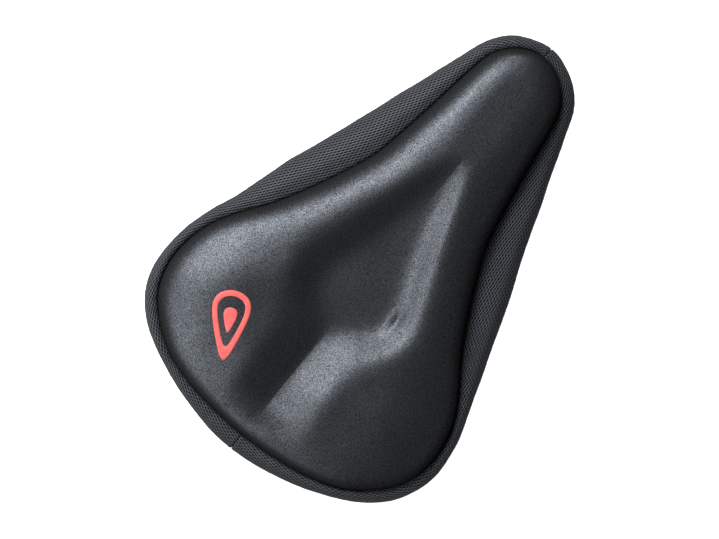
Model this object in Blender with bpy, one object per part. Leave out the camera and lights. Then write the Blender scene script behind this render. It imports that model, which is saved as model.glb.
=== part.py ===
"""Padded gel cover for a bicycle saddle.

A heat-moulded stretch top over a foam pad with two gel inserts, an air-mesh side band in two
halves that tucks under the saddle's edge, and a drawcord with a spring cord lock in the hem.

Frame: +X towards the nose, +Y to the rider's left, +Z up. The origin is the bottom centre of
the cover's bounding box, so the hem rests on z = 0. Numbers below are millimetres; objects are
built in metres.
"""

import math

import bmesh
import bpy
from mathutils import Matrix, Vector

MM = 0.001
SIDES = ((1, "left"), (-1, "right"))  # sign of y and the word in object names

# ---------------------------------------------------------------- driving dimensions
STATIONS = 64  # stations round the outline, 32 a side
GAP = 0.3  # working gap between neighbouring parts

Z_SEAM = 26.0  # where the top fabric meets the side band
Z_WIDEST = 12.0  # level of the widest outline
LINING_Z = (24.0, 25.0)  # grip lining, underside and top
LINING_INSET = 1.9  # from the seam line
FABRIC_T = 1.2  # top fabric with its bonded film
FABRIC_INSET = 0.3  # its cut edge, from the seam line
FOAM_Z = LINING_Z[1] + GAP  # underside of the foam pad

# Stations from the rear centre to the nose centre, left side, as plan points (x, y):
# the top seam, the widest outline and the inner edge of the hem.
ROWS = [
    ((-129.3, 0.0), (-140.0, 0.0), (-108.0, 0.0)),
    ((-128.2, 20.0), (-137.8, 21.0), (-106.5, 16.0)),
    ((-125.2, 40.0), (-132.4, 42.0), (-102.5, 31.0)),
    ((-119.0, 59.0), (-124.5, 62.3), (-96.0, 44.5)),
    ((-108.5, 74.0), (-114.5, 79.0), (-87.5, 53.5)),
    ((-96.0, 84.6), (-100.5, 91.0), (-78.0, 58.7)),
    ((-80.0, 89.4), (-81.0, 96.5), (-68.0, 60.8)),
    ((-64.0, 88.6), (-62.0, 95.0), (-57.0, 60.2)),
    ((-50.0, 84.3), (-45.0, 90.2), (-45.0, 57.5)),
    ((-36.0, 76.2), (-31.0, 84.8), (-33.0, 53.6)),
    ((-21.0, 65.6), (-12.0, 78.8), (-18.0, 48.4)),
    ((-3.0, 55.5), (6.2, 72.5), (-1.0, 42.3)),
    ((16.0, 46.3), (24.4, 65.6), (16.0, 36.3)),
    ((36.0, 38.4), (42.0, 59.0), (34.0, 30.0)),
    ((60.0, 33.6), (63.0, 51.6), (54.0, 23.6)),
    ((84.0, 29.8), (86.0, 43.3), (75.0, 18.0)),
    ((104.0, 26.8), (105.5, 36.6), (92.0, 14.2)),
    ((117.0, 23.4), (121.0, 30.6), (104.0, 11.2)),
    ((126.0, 16.5), (131.8, 21.6), (111.0, 7.6)),
    ((131.0, 8.5), (138.0, 10.0), (114.3, 3.8)),
    ((132.6, 0.0), (140.0, 0.0), (115.2, 0.0)),
]
NOSE = len(ROWS) - 1  # row position of the nose centre; the rear centre is 0
ROUND = 2 * NOSE  # row position where the outline closes

# Pad relief along x: run of the rounded shoulder, height of the dome above the seam and how
# square the shoulder is.
SHOULDER = [
    (-130, 40), (-85, 44), (-45, 42), (-25, 30), (0, 25), (30, 25), (60, 26.5), (90, 21),
    (110, 18), (133, 15),
]
DOME = [
    (-130, 15.5), (-85, 18.5), (-30, 18.3), (0, 17.8), (60, 17.6), (90, 16.4), (110, 14.8),
    (133, 13.0),
]
SQUARE = [(-130, 0.8), (-55, 0.8), (-25, 0.62), (133, 0.58)]
WALL, WALL_RUN = 4.5, 2.2  # the first steep rise at the seam
# Floor of the spade recess, half of it: x and half width.
SPADE = [
    (60.0, 0.0), (52.0, 1.4), (40.0, 3.6), (25.0, 6.4), (10.0, 9.4), (-5.0, 12.6),
    (-16.0, 15.5), (-25.0, 18.0), (-32.0, 19.2), (-38.0, 18.0), (-43.0, 14.2),
    (-46.5, 9.0), (-49.0, 4.0), (-50.5, 0.0),
]
GROOVE_END = -129.0  # rear end of the groove
# How far the recess and the groove sit to the left of the centreline.
SHIFT = [(-56, -0.6), (-40, -1.6), (-20, -1.8), (5, -0.8), (25, 0.0), (60, -0.4)]
# x, depth, distance from the floor to the middle of the wall, run of the wall
RELIEF = [
    (-129, 0.0, 9.0, 9.0), (-122, 2.4, 9.5, 9.0), (-113, 6.0, 10.5, 9.0), (-100, 8.7, 10.5, 9.0),
    (-80, 9.3, 10.5, 9.0), (-56, 9.0, 10.5, 9.0), (-30, 9.0, 10.8, 8.8), (-12, 8.4, 9.6, 8.4),
    (0, 7.9, 8.4, 8.0), (15, 7.2, 6.8, 7.4), (30, 6.2, 5.4, 6.6), (43, 4.5, 4.2, 5.4),
    (54, 2.2, 3.0, 4.4), (64, 0.0, 2.4, 4.0),
]
RELIEF_GROWTH = 1.6  # how soon the relief reaches its depth over the shoulder
VEE = [(-70, 1.0), (-44, 0.0)]  # share of the V section, which the rear groove has
VEE_RUN = 29.0  # half width of the groove
VEE_FOOT, VEE_FOOT_RUN = 0.35, 0.16  # steepness at the bottom, and share where it is full
VEE_CREST = 0.45  # share of the half width where the flank starts to round off
VEE_STEPS = 100
BLEND = 13.0  # how softly the recess runs into the groove


# ---------------------------------------------------------------- outline
def row(i):
    i %= ROUND
    if i <= NOSE:
        return ROWS[i]
    return tuple((x, -y) for x, y in ROWS[ROUND - i])


def spline(before, start, end, after, share):
    """Catmull-Rom between start and end."""
    return 0.5 * (
        2 * start
        + (end - before) * share
        + (2 * before - 5 * start + 4 * end - after) * share * share
        + (3 * start - before - 3 * end + after) * share**3
    )


def station(place):
    """Seam, widest and hem points in plan at a row position, which may be fractional."""
    i = math.floor(place)
    four = [row(i + k) for k in (-1, 0, 1, 2)]
    return [
        Vector([spline(*[r[line][axis] for r in four], place - i) for axis in (0, 1)])
        for line in range(3)
    ]


def on_side(place, side):
    """A row position of the left side, or its mirror image on the right."""
    return place if side == 1 else ROUND - place


def positions(side=0):
    """Row positions round the outline: all, or side 1 for left and -1 for right."""
    step = ROUND / STATIONS
    if side == 0:
        return [step * k for k in range(STATIONS)]
    half = [on_side(step * k, side) for k in range(STATIONS // 2 + 1)]
    return half[::side]


def outward(place):
    """Level direction from the seam line to the widest outline."""
    seam, widest, _ = station(place)
    return (widest - seam).normalized()


def out_of_seam(place, distance, z):
    """A point at a distance outwards from the seam line, negative inwards."""
    point = station(place)[0] + outward(place) * distance
    return Vector((point.x, point.y, z))


def in_from_widest(place, distance, z):
    """A point at a distance inwards from the widest outline, towards the hem."""
    _, widest, hem = station(place)
    point = widest + (hem - widest).normalized() * distance
    return Vector((point.x, point.y, z))


def hem_reach(place):
    _, widest, hem = station(place)
    return (hem - widest).length


# ---------------------------------------------------------------- height of the moulded top
def straight(rows, x, column):
    """Straight-line interpolation in a table whose rows start with x."""
    if x <= rows[0][0]:
        return rows[0][column]
    for low, high in zip(rows, rows[1:]):
        if x <= high[0]:
            share = (x - low[0]) / (high[0] - low[0])
            return low[column] + (high[column] - low[column]) * share
    return rows[-1][column]


def table(rows, x, column=1):
    """Interpolation along x, eased over a few millimetres so that no corner shows."""
    taps = ((-6, 1), (-4, 2), (-2, 3), (0, 4), (2, 3), (4, 2), (6, 1))
    total = sum(weight for _, weight in taps)
    return sum(straight(rows, x + dx, column) * weight for dx, weight in taps) / total


def edges_of(ring):
    return zip(ring, ring[1:] + ring[:1])


def to_ring(ring, x, y):
    """Distance in plan from a point to a closed line."""

    def to_edge(start, end):
        run = end - start
        along = ((x - start.x) * run.x + (y - start.y) * run.y) / run.length_squared
        along = max(0.0, min(1.0, along))
        return math.hypot(x - start.x - along * run.x, y - start.y - along * run.y)

    return min(to_edge(start, end) for start, end in edges_of(ring))


SEAM_POINTS = 480
SEAM_LINE = [station(ROUND * k / SEAM_POINTS)[0] for k in range(SEAM_POINTS)]
SPADE_RING = [Vector(point) for point in SPADE + [(x, -y) for x, y in SPADE[-2:0:-1]]]


def from_floor(x, y):
    """Distance in plan from the floor of the recess and the groove line, negative inside."""
    spade = to_ring(SPADE_RING, x, y)
    inside = False
    for start, end in edges_of(SPADE_RING):
        run = end - start
        if (start.y > y) != (end.y > y) and x < run.x * (y - start.y) / run.y + start.x:
            inside = not inside
    if inside:
        spade = -spade
    groove = math.hypot(x - max(GROOVE_END, min(SPADE[-1][0], x)), y)
    if x > SPADE[0][0]:
        groove = max(groove, spade)
    overlap = max(BLEND - abs(spade - groove), 0.0) / BLEND
    return min(spade, groove) - overlap * overlap * BLEND / 4


def vee_slope(share):
    """Steepness of the groove's flank: steep from the bottom line, rounded off at the top."""
    rise = VEE_FOOT + (1 - VEE_FOOT) * min(1.0, share / VEE_FOOT_RUN)
    past_crest = max(0.0, (share - VEE_CREST) / (1 - VEE_CREST))
    return rise * (0.5 + 0.5 * math.cos(math.pi * past_crest))


def vee_fall():
    """Running sum of the flank's steepness, from the bottom line outwards."""
    fall = [0.0]
    for k in range(VEE_STEPS):
        fall.append(fall[-1] + (vee_slope(k / VEE_STEPS) + vee_slope((k + 1) / VEE_STEPS)) / 2)
    return fall


VEE_FALL = vee_fall()


def vee_profile(share):
    """Depth share of the groove at a share of its half width."""
    step = max(0.0, min(1.0, share)) * VEE_STEPS
    k = min(VEE_STEPS - 1, int(step))
    return 1 - (VEE_FALL[k] + (VEE_FALL[k + 1] - VEE_FALL[k]) * (step - k)) / VEE_FALL[-1]


def top_height(x, y):
    """Height of the moulded top: a rounded dome less the spade recess and rear groove."""
    inset = to_ring(SEAM_LINE, x, y)
    climb = min(1.0, inset / table(SHOULDER, x))
    z = Z_SEAM + WALL * (1 - math.exp(-inset / WALL_RUN))
    z += (table(DOME, x) - WALL) * (1 - (1 - climb) ** 2) ** table(SQUARE, x)
    away = from_floor(x, y - table(SHIFT, x))
    depth, middle, run = (table(RELIEF, x, column) for column in (1, 2, 3))
    bowl = 0.5 - 0.5 * math.erf((away - middle) / run)
    vee = table(VEE, x)
    share = (1 - vee) * bowl + vee * vee_profile(away / VEE_RUN)
    return z - depth * share * min(1.0, climb * RELIEF_GROWTH)


# ---------------------------------------------------------------- building helpers
def link(name, data, mat=None, parent=None):
    obj = bpy.data.objects.new(name, data)
    bpy.context.scene.collection.objects.link(obj)
    if mat is not None:
        data.materials.append(mat)
    obj.parent = parent
    return obj


def finished(name, body, mat, parent=None, smooth=True):
    """Turns a bmesh in millimetres into a linked object in metres."""
    bmesh.ops.recalc_face_normals(body, faces=body.faces)
    mesh = bpy.data.meshes.new(name)
    body.to_mesh(mesh)
    body.free()
    mesh.transform(Matrix.Scale(MM, 4))
    if smooth:
        mesh.shade_smooth()
        mesh.set_sharp_from_angle(angle=math.radians(40))
    return link(name, mesh, mat, parent)


def verts(body, points):
    return [body.verts.new(point) for point in points]


def strip(body, first, second, closed=True):
    """Two triangles between each pair of points of two lines, always on the same diagonal."""
    count = len(first)
    for k in range(count if closed else count - 1):
        m = (k + 1) % count
        for corners in ((first[k], first[m], second[m]), (first[k], second[m], second[k])):
            if len(set(corners)) == 3:
                body.faces.new(corners)


def strips(body, loops):
    for first, second in zip(loops, loops[1:]):
        strip(body, first, second)


def loft(name, sections, mat, closed=False, bore=None):
    """A solid swept through closed sections, with an optional bore through it."""
    body = bmesh.new()
    loops = [verts(body, section) for section in sections]
    inner = [verts(body, section) for section in bore] if bore else None
    strips(body, loops + loops[:1] if closed else loops)
    if inner:
        strips(body, inner)
        strip(body, loops[0], inner[0])
        strip(body, loops[-1], inner[-1])
    elif not closed:
        # a section is an outer line and, coming back, an inner line of as many points
        for loop in (loops[0], loops[-1]):
            half = len(loop) // 2
            strip(body, loop[:half], loop[::-1][:half], closed=False)
    return finished(name, body, mat)


def held_to_side(points, side, gap):
    """Keeps points on their own side of the centreline, so that a half ends on a flat cut."""
    return [Vector((p.x, side * max(gap, side * p.y), p.z)) for p in points]


def rod(name, points, radius, mat, sides=0, cyclic=False, parent=None):
    """A round cord, thread or wire along points, as a bevelled curve; open ends are filled."""
    curve = bpy.data.curves.new(name, "CURVE")
    curve.dimensions = "3D"
    curve.bevel_depth = radius * MM
    curve.bevel_resolution = sides
    curve.use_fill_caps = not cyclic
    path = curve.splines.new("POLY")
    path.points.add(len(points) - 1)
    for knot, (x, y, z) in zip(path.points, points):
        knot.co = (x * MM, y * MM, z * MM, 1.0)
    path.use_cyclic_u = cyclic
    return link(name, curve, mat, parent)


def turned(profile, segments):
    """A closed body of revolution about +Y through profile points (radius, y)."""
    body = bmesh.new()
    angles = [2 * math.pi * k / segments for k in range(segments)]
    rings = []
    for radius, y in profile:
        if radius == 0:
            rings.append(verts(body, [(0, y, 0)]) * segments)
        else:
            circle = [(radius * math.cos(a), y, radius * math.sin(a)) for a in angles]
            rings.append(verts(body, circle))
    strips(body, rings)
    return body


def box(size):
    body = bmesh.new()
    bmesh.ops.create_cube(body, size=1.0)
    bmesh.ops.scale(body, vec=Vector(size), verts=body.verts)
    return body


def bevel(body, edges, offset, segments):
    bmesh.ops.bevel(
        body, geom=edges, offset=offset, segments=segments, profile=0.5, affect="EDGES"
    )


def hide(obj):
    obj.hide_render = True
    obj.display_type = "WIRE"


def hidden_box(name, size, location, parent, corner=0):
    """A box for a Boolean, with its edges along X rounded where a corner is given."""
    body = box(size)
    if corner > 0:
        edges = [
            edge
            for edge in body.edges
            if abs((edge.verts[0].co - edge.verts[1].co).x) > 0.5 * size[0]
        ]
        bevel(body, edges, corner, segments=3)
    obj = finished(name, body, None, parent, smooth=False)
    obj.location = Vector(location) * MM
    hide(obj)
    return obj


def boolean(obj, other, operation="DIFFERENCE"):
    modifier = obj.modifiers.new(operation.lower(), "BOOLEAN")
    modifier.operation = operation
    modifier.solver = "EXACT"
    modifier.object = other


# ---------------------------------------------------------------- scene and materials
for old in list(bpy.data.objects):
    bpy.data.objects.remove(old, do_unlink=True)


def material(name, rgb, roughness, metallic=0.0):
    mat = bpy.data.materials.new(name)
    mat.use_nodes = True
    shader = mat.node_tree.nodes["Principled BSDF"]
    shader.inputs["Base Color"].default_value = (*rgb, 1.0)
    shader.inputs["Roughness"].default_value = roughness
    shader.inputs["Metallic"].default_value = metallic
    mat.diffuse_color = (*rgb, 1.0)
    return mat


LYCRA = material("stretch_fabric", rgb=(0.035, 0.037, 0.041), roughness=0.5)
MESH = material("air_mesh", rgb=(0.045, 0.048, 0.052), roughness=0.75)
FOAM = material("foam", rgb=(0.16, 0.16, 0.17), roughness=0.9)
GEL = material("gel", rgb=(0.12, 0.3, 0.62), roughness=0.25)
GRIP = material("grip_fabric", rgb=(0.03, 0.03, 0.033), roughness=0.8)
TAPE = material("woven_tape", rgb=(0.025, 0.026, 0.028), roughness=0.7)
THREAD = material("thread", rgb=(0.02, 0.02, 0.022), roughness=0.55)
PRINT = material("badge_print", rgb=(1.0, 0.16, 0.15), roughness=0.5)
CORD = material("cord", rgb=(0.022, 0.022, 0.024), roughness=0.65)
PLASTIC = material("moulded_plastic", rgb=(0.018, 0.018, 0.02), roughness=0.4)
STEEL = material("spring_steel", rgb=(0.6, 0.6, 0.62), roughness=0.3, metallic=1.0)

# ---------------------------------------------------------------- top fabric, foam, lining
# Rings of the pad's top, as shares of the way from the seam to the centreline.
RING_SHARES = (0.03, 0.08, 0.15, 0.24, 0.34, 0.46, 0.58, 0.7, 0.84, 1.0)
SPINE = (-94.0, 112.0)  # ends of the centreline that the rings close on
SLOPE_STEP = 0.6  # half the span over which the top's slope is measured
DOWN_FROM = 7  # first ring that is set in straight down


def spine_x(seam_x):
    rear, nose = ROWS[0][0][0], ROWS[NOSE][0][0]
    return SPINE[0] + (SPINE[1] - SPINE[0]) * (seam_x - rear) / (nose - rear)


def top_rings():
    """Rings of the moulded top from the seam to the centreline, seen from outside."""
    rings = [[out_of_seam(p, -FABRIC_INSET, z) for p in positions()] for z in (LINING_Z[0], Z_SEAM)]
    for share in RING_SHARES:
        ring = []
        for place in positions():
            seam = station(place)[0]
            x = seam.x + (spine_x(seam.x) - seam.x) * share
            y = seam.y * (1 - share)
            ring.append(Vector((x, y, top_height(x, y))))
        rings.append(ring)
    return rings


def top_normal(x, y):
    step = SLOPE_STEP
    fall_x = top_height(x - step, y) - top_height(x + step, y)
    fall_y = top_height(x, y - step) - top_height(x, y + step)
    return Vector((fall_x, fall_y, 2 * step)).normalized()


def top_normals(rings):
    """Upward normals of the moulded top at the points of the rings. The first two rings, on
    the cut edge, point level and outwards."""
    level = [outward(place).to_3d() for place in positions()]
    return [level, level] + [[top_normal(p.x, p.y) for p in ring] for ring in rings[2:]]


def set_in(rings, normals, depth):
    """The same rings moved inwards by depth. The gentle ones near the centreline move
    straight down, so that the last one stays on it."""
    return [
        [
            point - (normal if i < DOWN_FROM else Vector((0, 0, 1 / normal.z))) * depth
            for point, normal in zip(ring, ring_normals)
        ]
        for i, (ring, ring_normals) in enumerate(zip(rings, normals))
    ]


def surface(body, rings):
    """Adds rings to body. The last ring lies on the centreline, so left and right share it."""
    count = len(rings[0])
    loops = [verts(body, ring) for ring in rings[:-1]]
    ridge = verts(body, rings[-1][: count // 2 + 1])
    loops.append([ridge[min(k, count - k)] for k in range(count)])
    strips(body, loops)
    return loops


def build_top_fabric(rings, normals):
    body = bmesh.new()
    outer = surface(body, rings)
    inner = surface(body, set_in(rings, normals, FABRIC_T))
    strip(body, outer[0], inner[0])
    finished("top_fabric", body, LYCRA)


def build_foam_pad(rings, normals):
    foam_rings = set_in(rings, normals, FABRIC_T + GAP)
    foam_rings[0] = [Vector((p.x, p.y, FOAM_Z)) for p in foam_rings[0]]
    body = bmesh.new()
    loops = surface(body, foam_rings)
    body.faces.new(loops[0])
    return finished("foam_pad", body, FOAM)


def build_grip_lining():
    body = bmesh.new()
    low, high = (
        verts(body, [out_of_seam(p, -LINING_INSET, z) for p in positions()]) for z in LINING_Z
    )
    strip(body, low, high)
    body.faces.new(low)
    body.faces.new(high)
    finished("grip_lining", body, GRIP, smooth=False)


# ---------------------------------------------------------------- gel pads and their pockets
GEL_CENTRE, GEL_HALF, GEL_TURN = (-72.0, 46.0), (35.0, 22.0), math.radians(-14)
GEL_Z = (25.4, 31.6)
GEL_EDGE = (2.2, 2.4)  # softened top edge, inwards and down
GEL_POWER = 0.84  # below 1 the oval is squarer than an ellipse
GEL_SEGMENTS = 28
POCKET_GAP = 0.4
POCKET_CUT = 2.0  # how far the cutter reaches below the foam


def gel_body(side, grow, z_low, z_high):
    """An oval pad with a softened top edge. grow widens it all round for the pocket."""
    body = bmesh.new()
    turn_cos, turn_sin = math.cos(GEL_TURN), math.sin(GEL_TURN)
    loops = []
    for inset, z in ((0.0, z_low), (0.0, GEL_Z[1] - GEL_EDGE[1]), (GEL_EDGE[0], z_high)):
        loop = []
        for k in range(GEL_SEGMENTS):
            angle = 2 * math.pi * k / GEL_SEGMENTS
            along, across = (
                math.copysign(abs(wave) ** GEL_POWER, wave) * (half + grow - inset)
                for wave, half in zip((math.cos(angle), math.sin(angle)), GEL_HALF)
            )
            x = GEL_CENTRE[0] + along * turn_cos - across * turn_sin
            y = GEL_CENTRE[1] + along * turn_sin + across * turn_cos
            loop.append(body.verts.new((x, side * y, z)))
        loops.append(loop)
    strips(body, loops)
    body.faces.new(loops[0])
    body.faces.new(loops[-1])
    return body


def build_gel_pads(foam):
    for side, word in SIDES:
        finished(f"gel_pad_{word}", gel_body(side, 0.0, *GEL_Z), GEL)
        hollow = gel_body(side, POCKET_GAP, FOAM_Z - POCKET_CUT, GEL_Z[1] + POCKET_GAP)
        pocket = finished(f"pocket_cutter_{word}", hollow, None, smooth=False)
        hide(pocket)
        boolean(foam, pocket)


# ---------------------------------------------------------------- hem dimensions
CASING_W, CASING_H, CASING_T = 9.2, 5.0, 0.7  # hem casing tape, width, height, wall
CASING_END = 0.8  # row position where the casing opens at the rear
CASING_START = 1.0  # stations nearer the rear centre than this are left out
CASING_SPLIT = 0.4  # least distance from the centreline
# Section of the casing, flat below: share of the half width, share of the height.
OVAL = [
    (-1.0, 0.5), (-0.86, 0.8), (-0.45, 1.0), (0.45, 1.0), (0.86, 0.8),
    (1.0, 0.5), (0.86, 0.16), (0.55, 0.0), (-0.55, 0.0), (-0.86, 0.16),
]
HEM_THREAD_R, HEM_THREAD_Z = 0.35, 3.55
HEM_THREAD_OUT = 1.2  # from the casing's outer edge, towards the widest outline
HEM_THREAD_SPLIT = 0.8  # least distance from the centreline
TACK_SIZE = (7.0, 1.8, 0.7)
TACK_EDGE = 0.2
TACK_PLACE, TACK_TURN = 1.15, math.radians(-9)
TACK_LIFT = 0.7  # its centre above the casing

# ---------------------------------------------------------------- side band
BAND_T = 2.2  # air-mesh thickness
SEAM_GAP = 0.6  # half the slot between the band halves at nose and rear
BAND_START = 0.4  # top edge of the band, from the seam line
BAND_EDGE_DROP = 1.07  # depth of the top edge in thicknesses
BAND_UNDER_Z = 0.6  # level of the band under the saddle's edge
BAND_TO_CASING = 0.6
BAND_WIDEST = 4  # index of the widest point in the band's line
CLOSING_THREAD_R = 0.3


def band_paths(place):
    """Outer and inner lines of the band's section: over the shoulder, round the side and
    under to the hem. Each is a list of 3D points from the seam to the hem."""
    seam, widest, _ = station(place)
    width = (widest - seam).length
    # (distance from the seam, z), with distances past the widest point folded back
    line = [
        (BAND_START, Z_SEAM),
        (BAND_START + 0.32 * (width - BAND_START), 25.2),
        (0.66 * width, 22.3),
        (0.9 * width, 17.4),
        (width, Z_WIDEST),
        (width - 1.3, 6.6),
        (width - 4.6, 2.4),
        (width - 9.0, BAND_UNDER_Z),
        (width - (hem_reach(place) - CASING_W - BAND_TO_CASING), BAND_UNDER_Z),
    ]
    inside = []
    for i, (x, z) in enumerate(line):
        before, after = line[max(i - 1, 0)], line[min(i + 1, len(line) - 1)]
        along = Vector((after[0] - before[0], after[1] - before[1])).normalized()
        # the inside lies to the right of the way along the line
        inside.append((x + along.y * BAND_T, z - along.x * BAND_T))
    inside[0] = (BAND_START, Z_SEAM - BAND_T * BAND_EDGE_DROP)
    inside[-1] = (line[-1][0], line[-1][1] + BAND_T)

    def placed(points):
        return [
            out_of_seam(place, x, z) if i <= BAND_WIDEST else in_from_widest(place, width - x, z)
            for i, (x, z) in enumerate(points)
        ]

    return placed(line), placed(inside)


def build_side_band():
    for side, word in SIDES:
        sections = []
        for place in positions(side):
            outside, inside = band_paths(place)
            sections.append(held_to_side(outside + inside[::-1], side, SEAM_GAP))
        loft(f"side_band_{word}", sections, MESH)


def build_closing_seams():
    """One thread run in the slot at the nose, one at the rear."""
    for place, word in ((NOSE, "nose"), (0, "rear")):
        middle = [(a + b) / 2 for a, b in zip(*band_paths(place))]
        rod(f"{word}_seam_thread", middle, CLOSING_THREAD_R, THREAD)


# ---------------------------------------------------------------- top seam, on the inside
TAPE_INNER, TAPE_OUTER = -2.6, 0.9  # edges of the binding tape, out of the seam line
TAPE_Z = (20.8, 21.9)
TOP_THREAD_OUT, TOP_THREAD_Z, TOP_THREAD_R = -0.7, 20.05, 0.4


def build_top_seam():
    low, high = TAPE_Z
    corners = ((TAPE_INNER, high), (TAPE_OUTER, high), (TAPE_OUTER, low), (TAPE_INNER, low))
    tape = [[out_of_seam(place, out, z) for out, z in corners] for place in positions()]
    loft("seam_binding_tape", tape, TAPE, closed=True)
    line = [out_of_seam(place, TOP_THREAD_OUT, TOP_THREAD_Z) for place in positions()]
    rod("top_seam_thread", line, TOP_THREAD_R, THREAD, cyclic=True)


# ---------------------------------------------------------------- hem casing and its thread
def casing_section(place, side, wall):
    """The casing's section across the hem, made smaller by a wall all round."""
    middle = hem_reach(place) - CASING_W / 2
    half, height = CASING_W / 2 - wall, CASING_H - 2 * wall
    points = [in_from_widest(place, middle + half * u, wall + height * v) for u, v in OVAL]
    return held_to_side(points, side, CASING_SPLIT)


def casing_rows(side):
    rows = [place for place in positions(side) if on_side(place, side) > CASING_START]
    end = on_side(CASING_END, side)
    return [end, *rows] if side == 1 else [*rows, end]


def cord_centre(place):
    return in_from_widest(place, hem_reach(place) - CASING_W / 2, CASING_H / 2)


def build_bartack(side, word):
    """A short dense tack across the casing where the cord comes out."""
    body = box(TACK_SIZE)
    bevel(body, list(body.edges), TACK_EDGE, segments=1)
    tack = finished(f"bartack_{word}", body, THREAD)
    centre = cord_centre(on_side(TACK_PLACE, side))
    tack.location = (centre.x * MM, centre.y * MM, (CASING_H + TACK_LIFT) * MM)
    tack.rotation_euler.z = side * TACK_TURN


def build_hem():
    for side, word in SIDES:
        rows = casing_rows(side)
        outer, bore = (
            [casing_section(place, side, wall) for place in rows] for wall in (0, CASING_T)
        )
        loft(f"hem_casing_{word}", outer, TAPE, bore=bore)
        inset = CASING_W + HEM_THREAD_OUT
        line = [in_from_widest(p, hem_reach(p) - inset, HEM_THREAD_Z) for p in rows]
        line = held_to_side(line, side, HEM_THREAD_SPLIT)
        rod(f"hem_thread_{word}", line, HEM_THREAD_R, THREAD)
        build_bartack(side, word)


# ---------------------------------------------------------------- drawcord and its end cap
LOCK_X, LOCK_Z = -88.0, 8.0  # centre of the cord hole in the lock
CORD_R = 1.5
CORD_SPREAD = 1.9  # each cord tail above or below the lock's centre
CORD_HIGH, CORD_LOW = LOCK_Z + CORD_SPREAD, LOCK_Z - CORD_SPREAD
CAP_X, CAP_LENGTH, CAP_R, CAP_BORE = -46.0, 12.0, 5.2, 3.9  # CAP_X is the open rear end
CAP_BORE_DEPTH = 8.0
CORD_END_X = CAP_X + CAP_BORE_DEPTH - 0.4
# Tail points (x, y, z): left from the cap to the casing, right from the casing to the cap.
LEFT_TAIL = [
    (CORD_END_X, 0, CORD_HIGH), (-70, 0, CORD_HIGH), (-97, 0, CORD_HIGH),
    (-101.5, 1.2, CORD_HIGH - 0.7), (-105.5, 3.6, CORD_HIGH - 2.6),
    (-108.8, 7.0, CORD_HIGH - 5.0), (-110.8, 10.4, 3.2),
]
RIGHT_TAIL = [
    (-110.8, -10.4, 2.9), (-108.8, -7.0, 3.9), (-105.5, -3.6, 5.1),
    (-101.5, -1.2, CORD_LOW - 0.3), (-97, 0, CORD_LOW), (-70, 0, CORD_LOW),
    (CORD_END_X, 0, CORD_LOW),
]


def build_drawcord():
    rows = casing_rows(1) + casing_rows(-1)[1:]
    points = LEFT_TAIL + [cord_centre(place) for place in rows] + RIGHT_TAIL
    rod("drawcord", points, CORD_R, CORD, sides=1)


def build_cord_end_cap():
    profile = [
        (0, CAP_LENGTH), (CAP_R * 0.55, CAP_LENGTH), (CAP_R * 0.8, CAP_LENGTH - 1.2),
        (CAP_R, 5.5), (CAP_R, 0.8), (CAP_R - 0.5, 0), (CAP_BORE, 0),
        (CAP_BORE, CAP_BORE_DEPTH), (0, CAP_BORE_DEPTH),
    ]
    body = turned(profile, segments=20)
    bmesh.ops.rotate(body, matrix=Matrix.Rotation(-math.pi / 2, 3, "Z"), verts=body.verts)
    cap = finished("cord_end_cap", body, PLASTIC)
    cap.location = (CAP_X * MM, 0, LOCK_Z * MM)


# ---------------------------------------------------------------- cord lock, button to +Y
LOCK_SEGMENTS = 32
PRESS_TRAVEL = 3.5  # travel of the lock's button
BARREL_R, BORE_R, PLUNGER_R = 7.5, 5.7, 5.4
BARREL_Y = (-12.2, 6.5)  # closed end and mouth
BARREL_FLOOR = 1.6
PLUNGER_Y = (-3.6, 12.3)  # foot and rim of the button
HOLE_W, HOLE_H, HOLE_CORNER = 3.7, 7.6, 1.5  # cord hole, along the plunger and across it
CATCH_Y = (-3.3, -2.1)
CATCH_W, CATCH_H = 2.0, 2.6
CATCH_SINK = 0.1  # its centre below the plunger's surface
SPRING_R, WIRE_R, TURNS, TURN_STEPS = 3.9, 0.4, 4.5, 12


def build_barrel(lock):
    closed_end, mouth = BARREL_Y
    floor = closed_end + BARREL_FLOOR
    profile = [
        (0, closed_end), (BARREL_R - 1.6, closed_end), (BARREL_R - 0.5, closed_end + 0.5),
        (BARREL_R, closed_end + 1.6), (BARREL_R, mouth - 1.0), (BARREL_R - 0.7, mouth),
        (BORE_R, mouth), (BORE_R, floor), (0, floor),
    ]
    barrel = finished("cord_lock_barrel", turned(profile, LOCK_SEGMENTS), PLASTIC, lock)
    size = (24, HOLE_W, HOLE_H)
    boolean(barrel, hidden_box("barrel_hole_cutter", size, (0, 0, 0), lock, HOLE_CORNER))
    # windows that the plunger's catches run in
    start, end = CATCH_Y[0] - PRESS_TRAVEL - GAP, CATCH_Y[1] + GAP
    size = (CATCH_W + 2 * GAP, end - start, 24)
    boolean(barrel, hidden_box("window_cutter", size, (0, (start + end) / 2, 0), lock))


def build_plunger(lock):
    foot, rim = PLUNGER_Y
    profile = [
        (0, foot), (PLUNGER_R, foot), (PLUNGER_R, rim - 1.6), (PLUNGER_R - 0.5, rim - 0.6),
        (PLUNGER_R - 1.7, rim), (0, rim + 0.2),
    ]
    plunger = finished("cord_lock_plunger", turned(profile, LOCK_SEGMENTS), PLASTIC, lock)
    # the hole is longer than the barrel's by the travel
    size = (20, HOLE_W + PRESS_TRAVEL, HOLE_H)
    centre = (0, PRESS_TRAVEL / 2, 0)
    boolean(plunger, hidden_box("plunger_hole_cutter", size, centre, lock, HOLE_CORNER))
    size = (CATCH_W, CATCH_Y[1] - CATCH_Y[0], CATCH_H)
    for sign, word in ((1, "top"), (-1, "bottom")):
        centre = (0, sum(CATCH_Y) / 2, sign * (PLUNGER_R - CATCH_SINK))
        boolean(plunger, hidden_box(f"catch_{word}", size, centre, lock), "UNION")


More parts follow.
